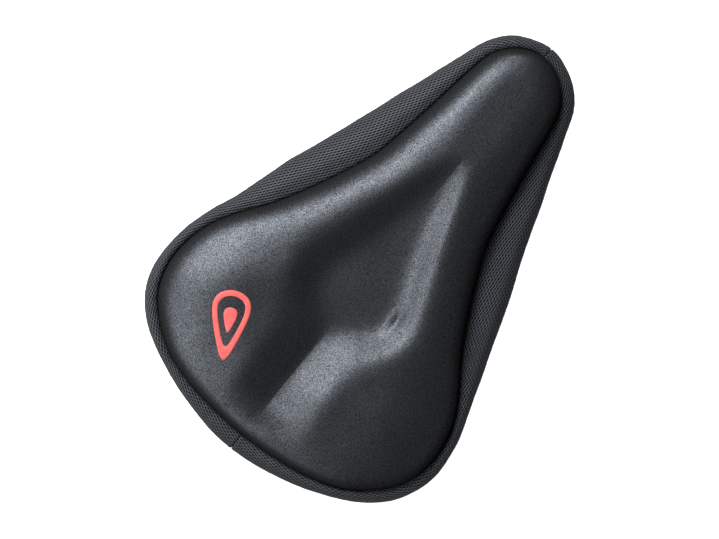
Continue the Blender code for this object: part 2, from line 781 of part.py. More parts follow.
def build_spring(lock):
    """Coil between the barrel's floor and the plunger's foot."""
    start = BARREL_Y[0] + BARREL_FLOOR + WIRE_R + GAP
    end = PLUNGER_Y[0] - WIRE_R - GAP
    steps = int(TURNS * TURN_STEPS)
    coil = []
    for k in range(steps + 1):
        angle = 2 * math.pi * k / TURN_STEPS
        y = start + (end - start) * k / steps
        coil.append((SPRING_R * math.cos(angle), y, SPRING_R * math.sin(angle)))
    rod("cord_lock_spring", coil, WIRE_R, STEEL, parent=lock)


def build_cord_lock():
    lock = link("cord_lock_axis", None)
    lock.location = (LOCK_X * MM, 0, LOCK_Z * MM)
    build_barrel(lock)
    build_plunger(lock)
    build_spring(lock)


# ---------------------------------------------------------------- badge, heat-transfer print
BADGE_CENTRE, BADGE_TURN = (-86.2, 42.9), math.radians(209)
BADGE_LIFT, BADGE_T = 0.75, 0.3
BADGE_SEGMENTS = 36
# Scale of a drop and its shift towards the tip.
OUTLINE_OUTER, OUTLINE_INNER, INNER_DROP = (1.0, 0), (0.72, -1.9), (0.36, -2.2)
INNER_DROP_CENTRE = -4.0


def drop(scale, shift, angle):
    """Outline of a drop, tip at angle 0: a circle drawn out to a point."""
    tip = 0.5 * (1 + math.cos(angle))
    along = scale * (10.0 * math.cos(angle) + 18.0 * tip**3 - 8.0) + shift
    across = scale * 11.4 * math.sin(angle) * (1 - 0.44 * tip**2)
    return along, across


def on_badge(along, across, height):
    """A point of the badge, at a height above its underside."""
    turn_cos, turn_sin = math.cos(BADGE_TURN), math.sin(BADGE_TURN)
    x = BADGE_CENTRE[0] + along * turn_cos - across * turn_sin
    y = BADGE_CENTRE[1] + along * turn_sin + across * turn_cos
    return Vector((x, y, top_height(x, y) + BADGE_LIFT + height))


def build_badge():
    angles = [2 * math.pi * k / BADGE_SEGMENTS for k in range(BADGE_SEGMENTS)]
    corners = (
        (OUTLINE_OUTER, 0), (OUTLINE_OUTER, BADGE_T), (OUTLINE_INNER, BADGE_T), (OUTLINE_INNER, 0),
    )
    sections = [[on_badge(*drop(*edge, a), height) for edge, height in corners] for a in angles]
    loft("badge_outline", sections, PRINT, closed=True)

    body = bmesh.new()
    heights = (0, BADGE_T)
    centres = verts(body, [on_badge(INNER_DROP_CENTRE, 0, height) for height in heights])
    rims = [
        verts(body, [on_badge(*drop(*INNER_DROP, a), height) for a in angles[::2]])
        for height in heights
    ]
    strip(body, *rims)
    for centre, rim in zip(centres, rims):
        strip(body, [centre] * len(rim), rim)
    finished("badge_drop", body, PRINT)


# ---------------------------------------------------------------- assembly
TOP = top_rings()
NORMALS = top_normals(TOP)
build_top_fabric(TOP, NORMALS)
build_gel_pads(build_foam_pad(TOP, NORMALS))
build_grip_lining()
build_side_band()
build_closing_seams()
build_top_seam()
build_hem()
build_drawcord()
build_cord_end_cap()
build_cord_lock()
build_badge()
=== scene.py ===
"""Looks of a padded gel saddle cover: moulded satin top over foam and gel, lining, air-mesh
side band, hem, drawcord and cord lock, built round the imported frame.

The nose points to +X, the rider's left is +Y and up is +Z; the hem rests at about z = 0.
Lengths are millimetres unless said otherwise; meshes are written in metres."""

import math

import bmesh
import bpy
import numpy as np
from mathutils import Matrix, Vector


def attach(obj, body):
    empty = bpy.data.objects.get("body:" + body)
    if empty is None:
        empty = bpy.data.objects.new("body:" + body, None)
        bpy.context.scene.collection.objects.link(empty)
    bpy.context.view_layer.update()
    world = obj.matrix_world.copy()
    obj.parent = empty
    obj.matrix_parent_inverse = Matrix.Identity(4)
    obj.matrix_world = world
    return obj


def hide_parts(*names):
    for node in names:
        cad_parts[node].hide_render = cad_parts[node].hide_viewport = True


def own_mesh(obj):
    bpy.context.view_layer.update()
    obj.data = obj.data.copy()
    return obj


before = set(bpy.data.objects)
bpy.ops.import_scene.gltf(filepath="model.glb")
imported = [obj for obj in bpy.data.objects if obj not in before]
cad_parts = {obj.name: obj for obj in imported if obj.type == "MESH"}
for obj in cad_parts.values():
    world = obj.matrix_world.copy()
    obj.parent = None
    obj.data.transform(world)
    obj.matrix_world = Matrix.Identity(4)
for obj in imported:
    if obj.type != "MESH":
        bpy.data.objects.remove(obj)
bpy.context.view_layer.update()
MM = 0.001
TURN = 2 * math.pi
SIDES = ((1, "left"), (-1, "right"))

# ================================================================ outline
# Stations from the rear centre to the nose centre, left side, as plan points: top seam,
# widest outline and inner edge of the hem.
ROWS = np.array(
    [
        [(-129.3, 0.0), (-140.0, 0.0), (-108.0, 0.0)],
        [(-128.2, 20.0), (-137.8, 21.0), (-106.5, 16.0)],
        [(-125.2, 40.0), (-132.4, 42.0), (-102.5, 31.0)],
        [(-119.0, 59.0), (-124.5, 62.3), (-96.0, 44.5)],
        [(-108.5, 74.0), (-114.5, 79.0), (-87.5, 53.5)],
        [(-96.0, 84.6), (-100.5, 91.0), (-78.0, 58.7)],
        [(-80.0, 89.4), (-81.0, 96.5), (-68.0, 60.8)],
        [(-64.0, 88.6), (-62.0, 95.0), (-57.0, 60.2)],
        [(-50.0, 84.3), (-45.0, 90.2), (-45.0, 57.5)],
        [(-36.0, 76.2), (-31.0, 84.8), (-33.0, 53.6)],
        [(-21.0, 65.6), (-12.0, 78.8), (-18.0, 48.4)],
        [(-3.0, 55.5), (6.2, 72.5), (-1.0, 42.3)],
        [(16.0, 46.3), (24.4, 65.6), (16.0, 36.3)],
        [(36.0, 38.4), (42.0, 59.0), (34.0, 30.0)],
        [(60.0, 33.6), (63.0, 51.6), (54.0, 23.6)],
        [(84.0, 29.8), (86.0, 43.3), (75.0, 18.0)],
        [(104.0, 26.8), (105.5, 36.6), (92.0, 14.2)],
        [(117.0, 23.4), (121.0, 30.6), (104.0, 11.2)],
        [(126.0, 16.5), (131.8, 21.6), (111.0, 7.6)],
        [(131.0, 8.5), (138.0, 10.0), (114.3, 3.8)],
        [(132.6, 0.0), (140.0, 0.0), (115.2, 0.0)],
    ]
)
LAST = len(ROWS) - 1  # row position of the nose; a full turn is 2 * LAST
LOOP = np.concatenate([ROWS, ROWS[LAST - 1 : 0 : -1] * [1, -1]])
SEAM, WIDEST = 0, 1  # lines of a station
Z_SEAM, Z_WIDEST = 26.0, 12.0
CASING_W, CASING_H = 9.2, 5.0


def catmull_rom(a, b, c, d, t):
    """Point at share t of the span from b to c."""
    return 0.5 * (
        2 * b + (c - a) * t + (2 * a - 5 * b + 4 * c - d) * t**2
        + (3 * b - a - 3 * c + d) * t**3
    )  # fmt: skip


def stations(rows):
    """Seam, widest and hem plan points at row positions, each an (n, 2) array."""
    rows = np.asarray(rows, float) % (2 * LAST)
    first = np.floor(rows).astype(int)
    share = (rows - first)[:, None, None]
    near = (LOOP[(first + k) % len(LOOP)] for k in (-1, 0, 1, 2))
    points = catmull_rom(*near, share)
    return points[:, 0], points[:, 1], points[:, 2]


def unit(vectors):
    return vectors / np.linalg.norm(vectors, axis=-1, keepdims=True)


def arc(line):
    """Length along a line at each of its points."""
    step = np.linalg.norm(np.diff(line, axis=0), axis=1)
    return np.concatenate([[0], np.cumsum(step)])


def even_rows(count, side=0, line=SEAM):
    """Row positions spaced evenly along one line, and their lengths along it.

    Side 0 is the whole loop, 1 the left half and -1 the right half."""
    start, end = {0: (0, 2 * LAST), 1: (0, LAST), -1: (LAST, 2 * LAST)}[side]
    rows = np.linspace(start, end, 4001)
    length = arc(stations(rows)[line])
    even = np.linspace(0, length[-1], count, endpoint=side != 0)
    return np.interp(even, length, rows), even


# ================================================================ relief of the top
# All along x. Run of the rounded shoulder:
SHOULDER = [
    (-130, 40), (-85, 44), (-45, 42), (-25, 30), (0, 25), (30, 25), (60, 26.5), (90, 21),
    (110, 18), (133, 15),
]  # fmt: skip
# height of the dome above the seam:
DOME = [
    (-130, 15.5), (-85, 18.5), (-30, 18.3), (0, 17.8), (60, 17.6), (90, 16.4), (110, 14.8),
    (133, 13.0),
]  # fmt: skip
# exponent of the shoulder, smaller where it is squarer:
SQUARE = [(-130, 0.8), (-55, 0.8), (-25, 0.62), (133, 0.58)]
WALL, WALL_RUN = 4.5, 2.2  # the first steep rise at the seam
# Floor of the spade recess, half of it: x and half width.
SPADE = [
    (60.0, 0.0), (52.0, 1.4), (40.0, 3.6), (25.0, 6.4), (10.0, 9.4), (-5.0, 12.6),
    (-16.0, 15.5), (-25.0, 18.0), (-32.0, 19.2), (-38.0, 18.0), (-43.0, 14.2),
    (-46.5, 9.0), (-49.0, 4.0), (-50.5, 0.0),
]  # fmt: skip
GROOVE_END = -129.0  # rear end of the groove line
# Sideways shift of the recess and groove, negative to the right:
SHIFT = [(-56, -0.6), (-40, -1.6), (-20, -1.8), (5, -0.8), (25, 0.0), (60, -0.4)]
# x, depth, distance from the floor to the middle of the wall, run of the wall
RELIEF = [
    (-129, 0.0, 9.0, 9.0), (-122, 2.4, 9.5, 9.0), (-114, 5.2, 10.3, 9.0),
    (-106, 7.2, 10.5, 9.0), (-96, 8.6, 10.5, 9.0), (-80, 9.3, 10.5, 9.0),
    (-56, 9.0, 10.5, 9.0), (-30, 9.0, 10.8, 8.8), (-12, 8.4, 9.6, 8.4),
    (0, 7.9, 8.4, 8.0), (15, 7.2, 6.8, 7.4), (30, 6.2, 5.4, 6.6), (43, 4.5, 4.2, 5.4),
    (54, 2.2, 3.0, 4.4), (64, 0.0, 2.4, 4.0),
]  # fmt: skip
VEE = [(-70, 1.0), (-44, 0.0)]  # share of the V section, which the rear groove has
VEE_RUN_LEFT, VEE_RUN_RIGHT = 29.0, 31.0
BLEND = 13.0  # how softly the recess runs into the groove
SEAM_LINE = stations(np.linspace(0, 2 * LAST, 960, endpoint=False))[SEAM]
# Folds in the cloth: x, y, turn, length, width, height. A ridge and a hollow on the right
# wall of the recess, and a faint ridge on the left one.
FOLDS = [
    (-30.0, -23.6, 0.12, 6.0, 1.8, 0.28),
    (-28.5, -27.0, 0.12, 5.5, 1.9, -0.46),
    (-27.0, 29.0, -0.3, 12.0, 2.4, 0.12),
]


def eased(table, x, column=1):
    """A table's column at x, eased over a few millimetres so that no corner shows."""
    table = np.array(table, float)
    taps = ((-6, 1), (-4, 2), (-2, 3), (0, 4), (2, 3), (4, 2), (6, 1))
    total = sum(np.interp(x + dx, table[:, 0], table[:, column]) * w for dx, w in taps)
    return total / 16


def to_seam(x, y):
    """Distance in plan to the seam line."""
    points = np.stack([x.ravel(), y.ravel()], 1)
    step = np.roll(SEAM_LINE, -1, 0) - SEAM_LINE
    step_squared = (step * step).sum(1)
    out = np.empty(len(points))
    for k in range(0, len(points), 4000):  # in batches, to save memory
        offset = points[k : k + 4000, None, :] - SEAM_LINE[None]
        t = np.clip((offset * step).sum(2) / step_squared, 0, 1)
        out[k : k + 4000] = np.sqrt(((offset - t[..., None] * step) ** 2).sum(2).min(1))
    return out.reshape(np.shape(x))


def from_floor(x, y):
    """Distance in plan from the floor of the recess and the groove line, negative inside."""
    points = np.stack([x.ravel(), y.ravel()], 1)
    px, py = points.T
    half = np.array(SPADE)
    ring = np.concatenate([half, half[-2:0:-1] * [1, -1]])
    near = np.full(len(points), 1e9)
    inside = np.zeros(len(points), bool)
    for a, b in zip(ring, np.roll(ring, -1, 0)):
        step, offset = b - a, points - a
        t = np.clip((offset @ step) / (step @ step), 0, 1)
        near = np.minimum(near, np.hypot(*(offset - t[:, None] * step).T))
        cross = (a[1] > py) != (b[1] > py)
        with np.errstate(divide="ignore", invalid="ignore"):
            inside ^= cross & (px < (b[0] - a[0]) * (py - a[1]) / (b[1] - a[1]) + a[0])
    near = np.where(inside, -near, near)
    tip = SPADE[0][0]
    line = np.hypot(px - np.clip(px, GROOVE_END, SPADE[-1][0]), py)
    line = np.where(px > tip, np.maximum(line, near), line)
    overlap = np.maximum(BLEND - np.abs(near - line), 0) / BLEND
    return (np.minimum(near, line) - overlap * overlap * BLEND / 4).reshape(np.shape(x))


def erf(v):
    """Error function, by a rational approximation."""
    t = 1 / (1 + 0.3275911 * np.abs(v))
    poly = 0.0
    for factor in (1.061405429, -1.453152027, 1.421413741, -0.284496736, 0.254829592):
        poly = t * (factor + poly)
    return np.sign(v) * (1 - poly * np.exp(-v * v))


def vee_profile(t, gradual):
    """Depth share of the V groove: a flank that rounds off at its top edge.

    A gradual flank is also less steep near its foot."""
    grid = np.linspace(0, 1, 201)
    if gradual:
        slope = 0.42 + 0.30 * np.clip(grid / 0.15, 0, 1) + 0.28 * np.clip(grid / 0.45, 0, 1)
    else:
        slope = 0.35 + 0.65 * np.clip(grid / 0.16, 0, 1)
    slope = slope * (0.5 + 0.5 * np.cos(math.pi * np.clip((grid - 0.45) / 0.55, 0, 1)))
    fall = np.concatenate([[0], np.cumsum((slope[1:] + slope[:-1]) / 2)])
    return np.interp(t, grid, 1 - fall / fall[-1])


def top_height(x, y, from_seam):
    """Dome of the top with the recess and the groove taken out."""
    u = np.minimum(1, from_seam / eased(SHOULDER, x))
    z = Z_SEAM + WALL * (1 - np.exp(-from_seam / WALL_RUN))
    z = z + (eased(DOME, x) - WALL) * (1 - (1 - u) ** 2) ** eased(SQUARE, x)
    shift = eased(SHIFT, x)
    away = from_floor(x, y - shift)
    depth, middle, run = (eased(RELIEF, x, column) for column in (1, 2, 3))
    bowl = 0.5 - 0.5 * erf((away - middle) / run)
    vee = eased(VEE, x)
    left = vee_profile(np.clip(away / VEE_RUN_LEFT, 0, 1), gradual=False)
    right = vee_profile(np.clip(away / VEE_RUN_RIGHT, 0, 1), gradual=True)
    share = (1 - vee) * bowl + vee * np.where(y > shift, left, right)
    return z - depth * share * np.minimum(1, u * 1.6)


def waves(x, y, seed, count, shortest, longest):
    """Smooth irregular undulation of about unit height, from a fixed set of plane waves."""
    random = np.random.default_rng(seed)
    out = np.zeros(np.shape(x))
    for _ in range(count):
        angle = random.uniform(0, TURN)
        k = TURN / random.uniform(shortest, longest)
        across = x * math.cos(angle) + y * math.sin(angle)
        out += np.sin(across * k + random.uniform(0, 6.28))
    return out / math.sqrt(count)


def surface_detail(x, y, from_seam):
    """Soft irregularities of cloth over foam, a few tenths high."""
    z = 0.16 * waves(x, y, 3, 12, 26, 80) * np.minimum(1, from_seam / 10)
    for fold_x, fold_y, turn, length, width, height in FOLDS:
        c, s = math.cos(turn), math.sin(turn)
        along = (x - fold_x) * c + (y - fold_y) * s
        across = -(x - fold_x) * s + (y - fold_y) * c
        z += height * np.exp(-((along / length) ** 2) - (across / width) ** 2)
    # pulled-in folds that run out from the seam
    around = np.arctan2(y, x + 10) * 40
    pull = 0.06 * np.exp(-from_seam / 9.0)
    z += pull * np.sin(around * 1.1 + 3 * np.sin(around * 0.35)) * np.minimum(1, from_seam / 3)
    return z


def top_surface(x, y):
    """Height of the finished top."""
    from_seam = to_seam(x, y)
    return top_height(x, y, from_seam) + surface_detail(x, y, from_seam)


# ================================================================ mesh helpers
def new_object(name, data):
    obj = bpy.data.objects.new(name, data)
    bpy.context.scene.collection.objects.link(obj)
    return obj


def mesh_object(name, verts, faces, material, uv=None):
    """A smooth object with outward faces. uv is one pair per vertex, in millimetres."""
    mesh = bpy.data.meshes.new(name)
    verts = np.asarray(verts, float) * MM
    mesh.from_pydata(verts.tolist(), [], [tuple(int(i) for i in f) for f in faces])
    mesh.update()
    if uv is not None:
        layer = mesh.uv_layers.new(name="pattern")
        loops = np.empty(len(mesh.loops), int)
        mesh.loops.foreach_get("vertex_index", loops)
        layer.data.foreach_set("uv", np.asarray(uv, np.float32)[loops].ravel())
    mesh.shade_smooth()
    mesh.materials.append(material)
    obj = new_object(name, mesh)
    bm = bmesh.new()
    bm.from_mesh(mesh)
    bmesh.ops.recalc_face_normals(bm, faces=bm.faces)
    bm.to_mesh(mesh)
    bm.free()
    return obj


def register(obj, replaces=None, part="cover"):
    """Tells the frame what the object rides on and hides the part it replaces."""
    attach(obj, part)
    if replaces:
        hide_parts(replaces)


def grid_faces(n, m, offset=0, closed_n=False, closed_m=False, flip=False):
    """Quads of an n by m grid whose vertices are stored row by row."""
    rows = np.arange(n if closed_n else n - 1)
    cols = np.arange(m if closed_m else m - 1)
    i, j = np.meshgrid(rows, cols, indexing="ij")
    i, j = i.ravel(), j.ravel()
    i2, j2 = (i + 1) % n, (j + 1) % m
    quads = np.stack([i * m + j, i2 * m + j, i2 * m + j2, i * m + j2], 1) + offset
    return (quads[:, ::-1] if flip else quads).tolist()


def grid_normals(grid, closed_n=False):
    """Unit normals of an (n, m, 3) grid of points."""
    if closed_n:
        du = np.roll(grid, -1, 0) - np.roll(grid, 1, 0)
    else:
        du = np.gradient(grid, axis=0)
    normal = np.cross(du, np.gradient(grid, axis=1))
    return normal / np.maximum(np.linalg.norm(normal, axis=2, keepdims=True), 1e-9)


def capped(rings, flip_first=False):
    """Vertices and faces of a stack of rings, (n, m, 3), closed by a face at both ends."""
    n, m = rings.shape[:2]
    faces = grid_faces(n, m, closed_m=True)
    faces.append(range(m - 1, -1, -1) if flip_first else range(m))
    faces.append(range((n - 1) * m, n * m))
    return rings.reshape(-1, 3), faces


def zipper(a, b, ta, tb):
    """Triangles between two lines of vertex numbers with positions ta, tb from 0 to 1."""
    i = j = 0
    out = []
    while i < len(a) - 1 or j < len(b) - 1:
        if j == len(b) - 1 or (i < len(a) - 1 and ta[i + 1] <= tb[j + 1]):
            out.append((a[i], a[i + 1], b[j]))
            i += 1
        else:
            out.append((a[i], b[j + 1], b[j]))
            j += 1
    return out


def dense(control, steps):
    """Catmull-Rom through control points (..., k, dims), steps per span."""
    before = 2 * control[..., :1, :] - control[..., 1:2, :]
    after = 2 * control[..., -1:, :] - control[..., -2:-1, :]
    points = np.concatenate([before, control, after], -2)
    t = np.linspace(0, 1, steps, endpoint=False)[:, None]
    parts = []
    for i in range(control.shape[-2] - 1):
        near = (points[..., i + k, :][..., None, :] for k in range(4))
        parts.append(catmull_rom(*near, t))
    parts.append(control[..., -1:, :])
    return np.concatenate(parts, -2)


def resample(line, spacing):
    """The line again, with points about this far apart."""
    s = arc(line)
    t = np.linspace(0, s[-1], max(2, int(round(s[-1] / spacing)) + 1))
    return np.stack([np.interp(t, s, line[:, k]) for k in range(line.shape[1])], 1)


def tube_frames(path, up=(0, 0, 1)):
    """Tangent, side and up vectors along a path, turned as little as possible."""
    tangent = unit(np.gradient(path, axis=0))
    side = unit(np.cross(tangent[0], up))
    sides = [side]
    for k in range(1, len(path)):
        side = unit(side - tangent[k] * np.dot(side, tangent[k]))
        sides.append(side)
    sides = np.array(sides)
    return tangent, sides, np.cross(tangent, sides)


def tube(name, path, radius, material, segments, shape=None):
    """A round bar along a path with domed ends. shape(angle, length) scales the radius."""
    tangent, side, up = tube_frames(path)
    s = arc(path)
    angle = np.linspace(0, TURN, segments, endpoint=False)
    r = np.full((len(path), segments), float(radius))
    if shape is not None:
        r = r * shape(angle[None, :], s[:, None])
    rings = (
        path[:, None, :]
        + side[:, None, :] * (np.cos(angle)[None, :, None] * r[..., None])
        + up[:, None, :] * (np.sin(angle)[None, :, None] * r[..., None])
    )
    uv = np.stack(np.broadcast_arrays(s[:, None], angle[None, :] * radius), -1).reshape(-1, 2)
    tips = [path[0] - tangent[0] * radius * 0.5, path[-1] + tangent[-1] * radius * 0.5]
    verts = np.concatenate([rings.reshape(-1, 3), tips])
    faces = grid_faces(len(path), segments, closed_m=True)
    tip, last_ring = len(path) * segments, (len(path) - 1) * segments
    for k in range(segments):
        k2 = (k + 1) % segments
        faces.append((k2, k, tip))
        faces.append((last_ring + k, last_ring + k2, tip + 1))
    return mesh_object(name, verts, faces, material, np.concatenate([uv, uv[[0, -1]]]))


def many(name, items, material):
    """One object from a list of (verts, faces)."""
    verts, faces, at = [], [], 0
    for item_verts, item_faces in items:
        verts.append(item_verts)
        faces.extend([tuple(i + at for i in face) for face in item_faces])
        at += len(item_verts)
    return mesh_object(name, np.concatenate(verts), faces, material)


def stitch(start, end, radius, up, segments=8):
    """One stitch: a short, slightly flattened thread bar that dives at both ends."""
    taper = np.array([0.45, 0.85, 1, 1, 1, 0.85, 0.45])
    t = np.linspace(0, 1, len(taper))
    lift = radius * (np.sin(math.pi * t) ** 0.6 * 1.25 - 1.0)
    path = start + (end - start) * t[:, None]
    path = path + np.asarray(up) * lift[:, None]
    _, side, over = tube_frames(path, up)
    angle = np.linspace(0, TURN, segments, endpoint=False)
    r = (radius * taper)[:, None, None]
    rings = (
        path[:, None, :]
        + side[:, None, :] * (np.cos(angle)[None, :, None] * r)
        + over[:, None, :] * (np.sin(angle)[None, :, None] * r * 0.8)
    )
    return capped(rings, flip_first=True)


def lathe(name, profile, segments, material, axis, origin):
    """A closed turned body. profile is (radius, along) from one end of the axis to the other;
    axis is 'x' or 'y'."""
    verts, faces, rings = [], [], []
    for r, h in profile:
        count = 1 if r < 1e-6 else segments
        rings.append(range(len(verts), len(verts) + count))
        for k in range(count):
            angle = TURN * k / segments
            verts.append((r * math.cos(angle), r * math.sin(angle), h))
    for a, b in zip(rings, rings[1:]):
        for k in range(segments):
            k2 = (k + 1) % segments
            if len(a) == 1:
                faces.append((a[0], b[k], b[k2]))
            elif len(b) == 1:
                faces.append((a[k], b[0], a[k2]))
            else:
                faces.append((a[k], b[k], b[k2], a[k2]))
    order = [0, 2, 1] if axis == "y" else [2, 0, 1]
    verts = np.array(verts)[:, order] + np.asarray(origin)
    return mesh_object(name, verts, faces, material)


def cut(obj, size, centre, corner):
    """Cuts out of obj a box whose edges along its longest side are rounded."""
    bm = bmesh.new()
    bmesh.ops.create_cube(bm, size=1.0)
    bmesh.ops.scale(bm, vec=Vector(size) * MM, verts=bm.verts)
    axis = max(range(3), key=lambda i: size[i])
    edges = [
        e for e in bm.edges
        if abs((e.verts[0].co - e.verts[1].co)[axis]) > 0.5 * size[axis] * MM
    ]  # fmt: skip
    bmesh.ops.bevel(
        bm, geom=edges, offset=corner * MM, segments=5, profile=0.5, affect="EDGES"
    )
    bmesh.ops.recalc_face_normals(bm, faces=bm.faces)
    mesh = bpy.data.meshes.new("cutter")
    bm.to_mesh(mesh)
    bm.free()
    tool = new_object("cutter", mesh)
    tool.location = Vector(centre) * MM
    modifier = obj.modifiers.new("cut", "BOOLEAN")
    modifier.operation, modifier.solver, modifier.object = "DIFFERENCE", "EXACT", tool
    bpy.context.view_layer.update()
    depsgraph = bpy.context.evaluated_depsgraph_get()
    result = bpy.data.meshes.new_from_object(obj.evaluated_get(depsgraph))
    obj.modifiers.clear()
    obj.data = result
    bpy.data.objects.remove(tool, do_unlink=True)


def keep_edges(obj):
    """Smooth shading, with the sharp edges kept sharp."""
    obj.data.shade_smooth()
    obj.data.set_sharp_from_angle(angle=math.radians(38))


# ================================================================ material helpers
class Shader:
    """A small wrapper to write node materials as expressions."""

    INPUTS = {
        "color": "Base Color", "roughness": "Roughness", "metallic": "Metallic",
        "specular": "Specular IOR Level", "sheen": "Sheen Weight",
        "sheen_roughness": "Sheen Roughness", "normal": "Normal",
        "subsurface": "Subsurface Weight", "ior": "IOR", "tint": "Specular Tint",
    }  # fmt: skip

    def __init__(self, name):
        self.material = bpy.data.materials.new(name)
        self.material.use_nodes = True
        self.tree = self.material.node_tree
        self.bsdf = self.tree.nodes["Principled BSDF"]

    def node(self, kind, **settings):
        node = self.tree.nodes.new(kind)
        for key, value in settings.items():
            setattr(node, key, value)
        return node

    def put(self, socket, value):
        if isinstance(value, bpy.types.NodeSocket):
            self.tree.links.new(value, socket)
        elif isinstance(value, tuple) and len(value) == 3 and socket.type == "RGBA":
            socket.default_value = (*value, 1.0)
        else:
            socket.default_value = value

    def put_all(self, node, values):
        for socket, value in zip(node.inputs, values):
            self.put(socket, value)
        return node.outputs[0]

    def math(self, operation, a, b=0.0):
        return self.put_all(self.node("ShaderNodeMath", operation=operation), (a, b, 0.0))

    def add(self, a, b):
        return self.math("ADD", a, b)

    def sub(self, a, b):
        return self.math("SUBTRACT", a, b)

    def mul(self, a, b):
        return self.math("MULTIPLY", a, b)

    def wave(self, value, pitch):
        return self.math("SINE", self.mul(value, TURN / pitch))

    def place(self):
        """Position in the object's own frame, in millimetres."""
        position = self.node("ShaderNodeTexCoord").outputs["Object"]
        node = self.node("ShaderNodeVectorMath", operation="SCALE")
        self.put(node.inputs[0], position)
        node.inputs["Scale"].default_value = 1000.0
        return node.outputs[0]

    def split(self, vector):
        """The vector's x and y."""
        node = self.node("ShaderNodeSeparateXYZ")
        self.put(node.inputs[0], vector)
        return node.outputs[0], node.outputs[1]

    def uv(self):
        return self.split(self.node("ShaderNodeUVMap", uv_map="pattern").outputs[0])

    def combine(self, x, y, z):
        return self.put_all(self.node("ShaderNodeCombineXYZ"), (x, y, z))

    def stretch(self, vector, scale):
        node = self.node("ShaderNodeVectorMath", operation="MULTIPLY")
        self.put(node.inputs[0], vector)
        node.inputs[1].default_value = scale
        return node.outputs[0]

    def noise(self, vector, size, detail=2.0, rough=0.5):
        """Noise whose features are about size millimetres."""
        node = self.node("ShaderNodeTexNoise")
        self.put(node.inputs["Vector"], vector)
        node.inputs["Scale"].default_value = 1.0 / size
        node.inputs["Detail"].default_value = detail
        node.inputs["Roughness"].default_value = rough
        return node.outputs[0]

    def cells(self, vector, size):
        node = self.node("ShaderNodeTexVoronoi")
        self.put(node.inputs["Vector"], vector)
        node.inputs["Scale"].default_value = 1.0 / size
        return node.outputs["Distance"]

    def span(self, value, over, to=(0.0, 1.0)):
        """Maps the range over to the range to, with smooth ends."""
        node = self.node("ShaderNodeMapRange", interpolation_type="SMOOTHSTEP")
        return self.put_all(node, (value, *over, *to))

    def mix(self, share, low, high):
        """Colour low where share is 0, high where it is 1."""
        node = self.node("ShaderNodeMix", data_type="RGBA")
        self.put(node.inputs[0], share)
        self.put(node.inputs[6], low)
        self.put(node.inputs[7], high)
        return node.outputs[2]

    def bump(self, height, distance, strength):
        """Bumped normal; distance is in millimetres."""
        node = self.node("ShaderNodeBump")
        node.inputs["Strength"].default_value = strength
        node.inputs["Distance"].default_value = distance * MM
        self.put(node.inputs["Height"], height)
        return node.outputs[0]

    def facing(self, blend):
        node = self.node("ShaderNodeLayerWeight")
        node.inputs["Blend"].default_value = blend
        return node.outputs["Facing"]

    def set(self, **values):
        for key, value in values.items():
            self.put(self.bsdf.inputs[self.INPUTS[key]], value)
        return self.material


# ================================================================ materials
# Pattern of the air mesh: pitches, half sizes of a hole, turn of the rows on the cloth
HOLE_ALONG, HOLE_ACROSS, HOLE_TURN = 2.2, 1.36, math.radians(18)
HOLE_HALF_LONG, HOLE_HALF_WIDE = 0.96, 0.48
HOLE_LEAN = -0.16  # each hole leans off its row


def lycra():
    mat = Shader("satin_lycra")
    place = mat.place()
    fine = mat.noise(place, size=0.31, detail=1.0, rough=0.6)
    speck = mat.noise(place, size=0.46, detail=1.0, rough=0.7)
    cloud = mat.noise(place, size=26.0, detail=3.0)
    # knit rows, too fine to see from far off
    x, y = mat.split(place)
    rib = mat.wave(y, pitch=0.42)
    loop = mat.wave(x, pitch=0.36)
    knit = mat.mul(rib, loop)
    grain = mat.add(mat.mul(fine, 0.8), mat.mul(speck, 0.6))
    shade = mat.span(grain, over=(0.35, 1.05))
    colour = mat.mix(shade, low=(0.0105, 0.0108, 0.0114), high=(0.0135, 0.0139, 0.0147))
    clouded = mat.span(cloud, over=(0.35, 0.7), to=(0.0, 0.25))
    colour = mat.mix(clouded, low=colour, high=(0.013, 0.0136, 0.0148))
    height = mat.add(mat.mul(grain, 1.0), mat.mul(knit, 0.10))
    # knit fibres shade one another, so the shine dies away at a grazing view
    graze = mat.span(mat.facing(blend=0.5), over=(0.25, 0.75), to=(1.0, 0.12))
    roughness = mat.span(speck, over=(0.38, 0.62), to=(0.47, 0.35))
    glint = mat.add(mat.mul(fine, 0.5), mat.mul(speck, 0.5))
    return mat.set(
        color=colour,
        ior=1.58,
        roughness=roughness,
        specular=mat.mul(mat.span(glint, over=(0.44, 0.56), to=(0.03, 1.0)), graze),
        tint=(0.82, 0.90, 1.0),
        normal=mat.bump(height, distance=0.09, strength=0.8),
    )


def mesh_hole(u, v):
    """How deep in a hole of the air mesh a pattern point is, 0 on the yarn to 1."""
    c, s = math.cos(HOLE_TURN), math.sin(HOLE_TURN)
    a, b = u * c - v * s, u * s + v * c
    row = np.floor(b / HOLE_ACROSS)
    b = b / HOLE_ACROSS - row - 0.5
    a = a / HOLE_ALONG + 0.5 * (row % 2)
    a = a - np.floor(a) - 0.5
    b = b + a * HOLE_LEAN
    r = np.sqrt((a * HOLE_ALONG / HOLE_HALF_LONG) ** 2 + (b * HOLE_ACROSS / HOLE_HALF_WIDE) ** 2)
    t = np.clip((1.2 - r) / 0.6, 0, 1)
    return t * t * (3 - 2 * t)


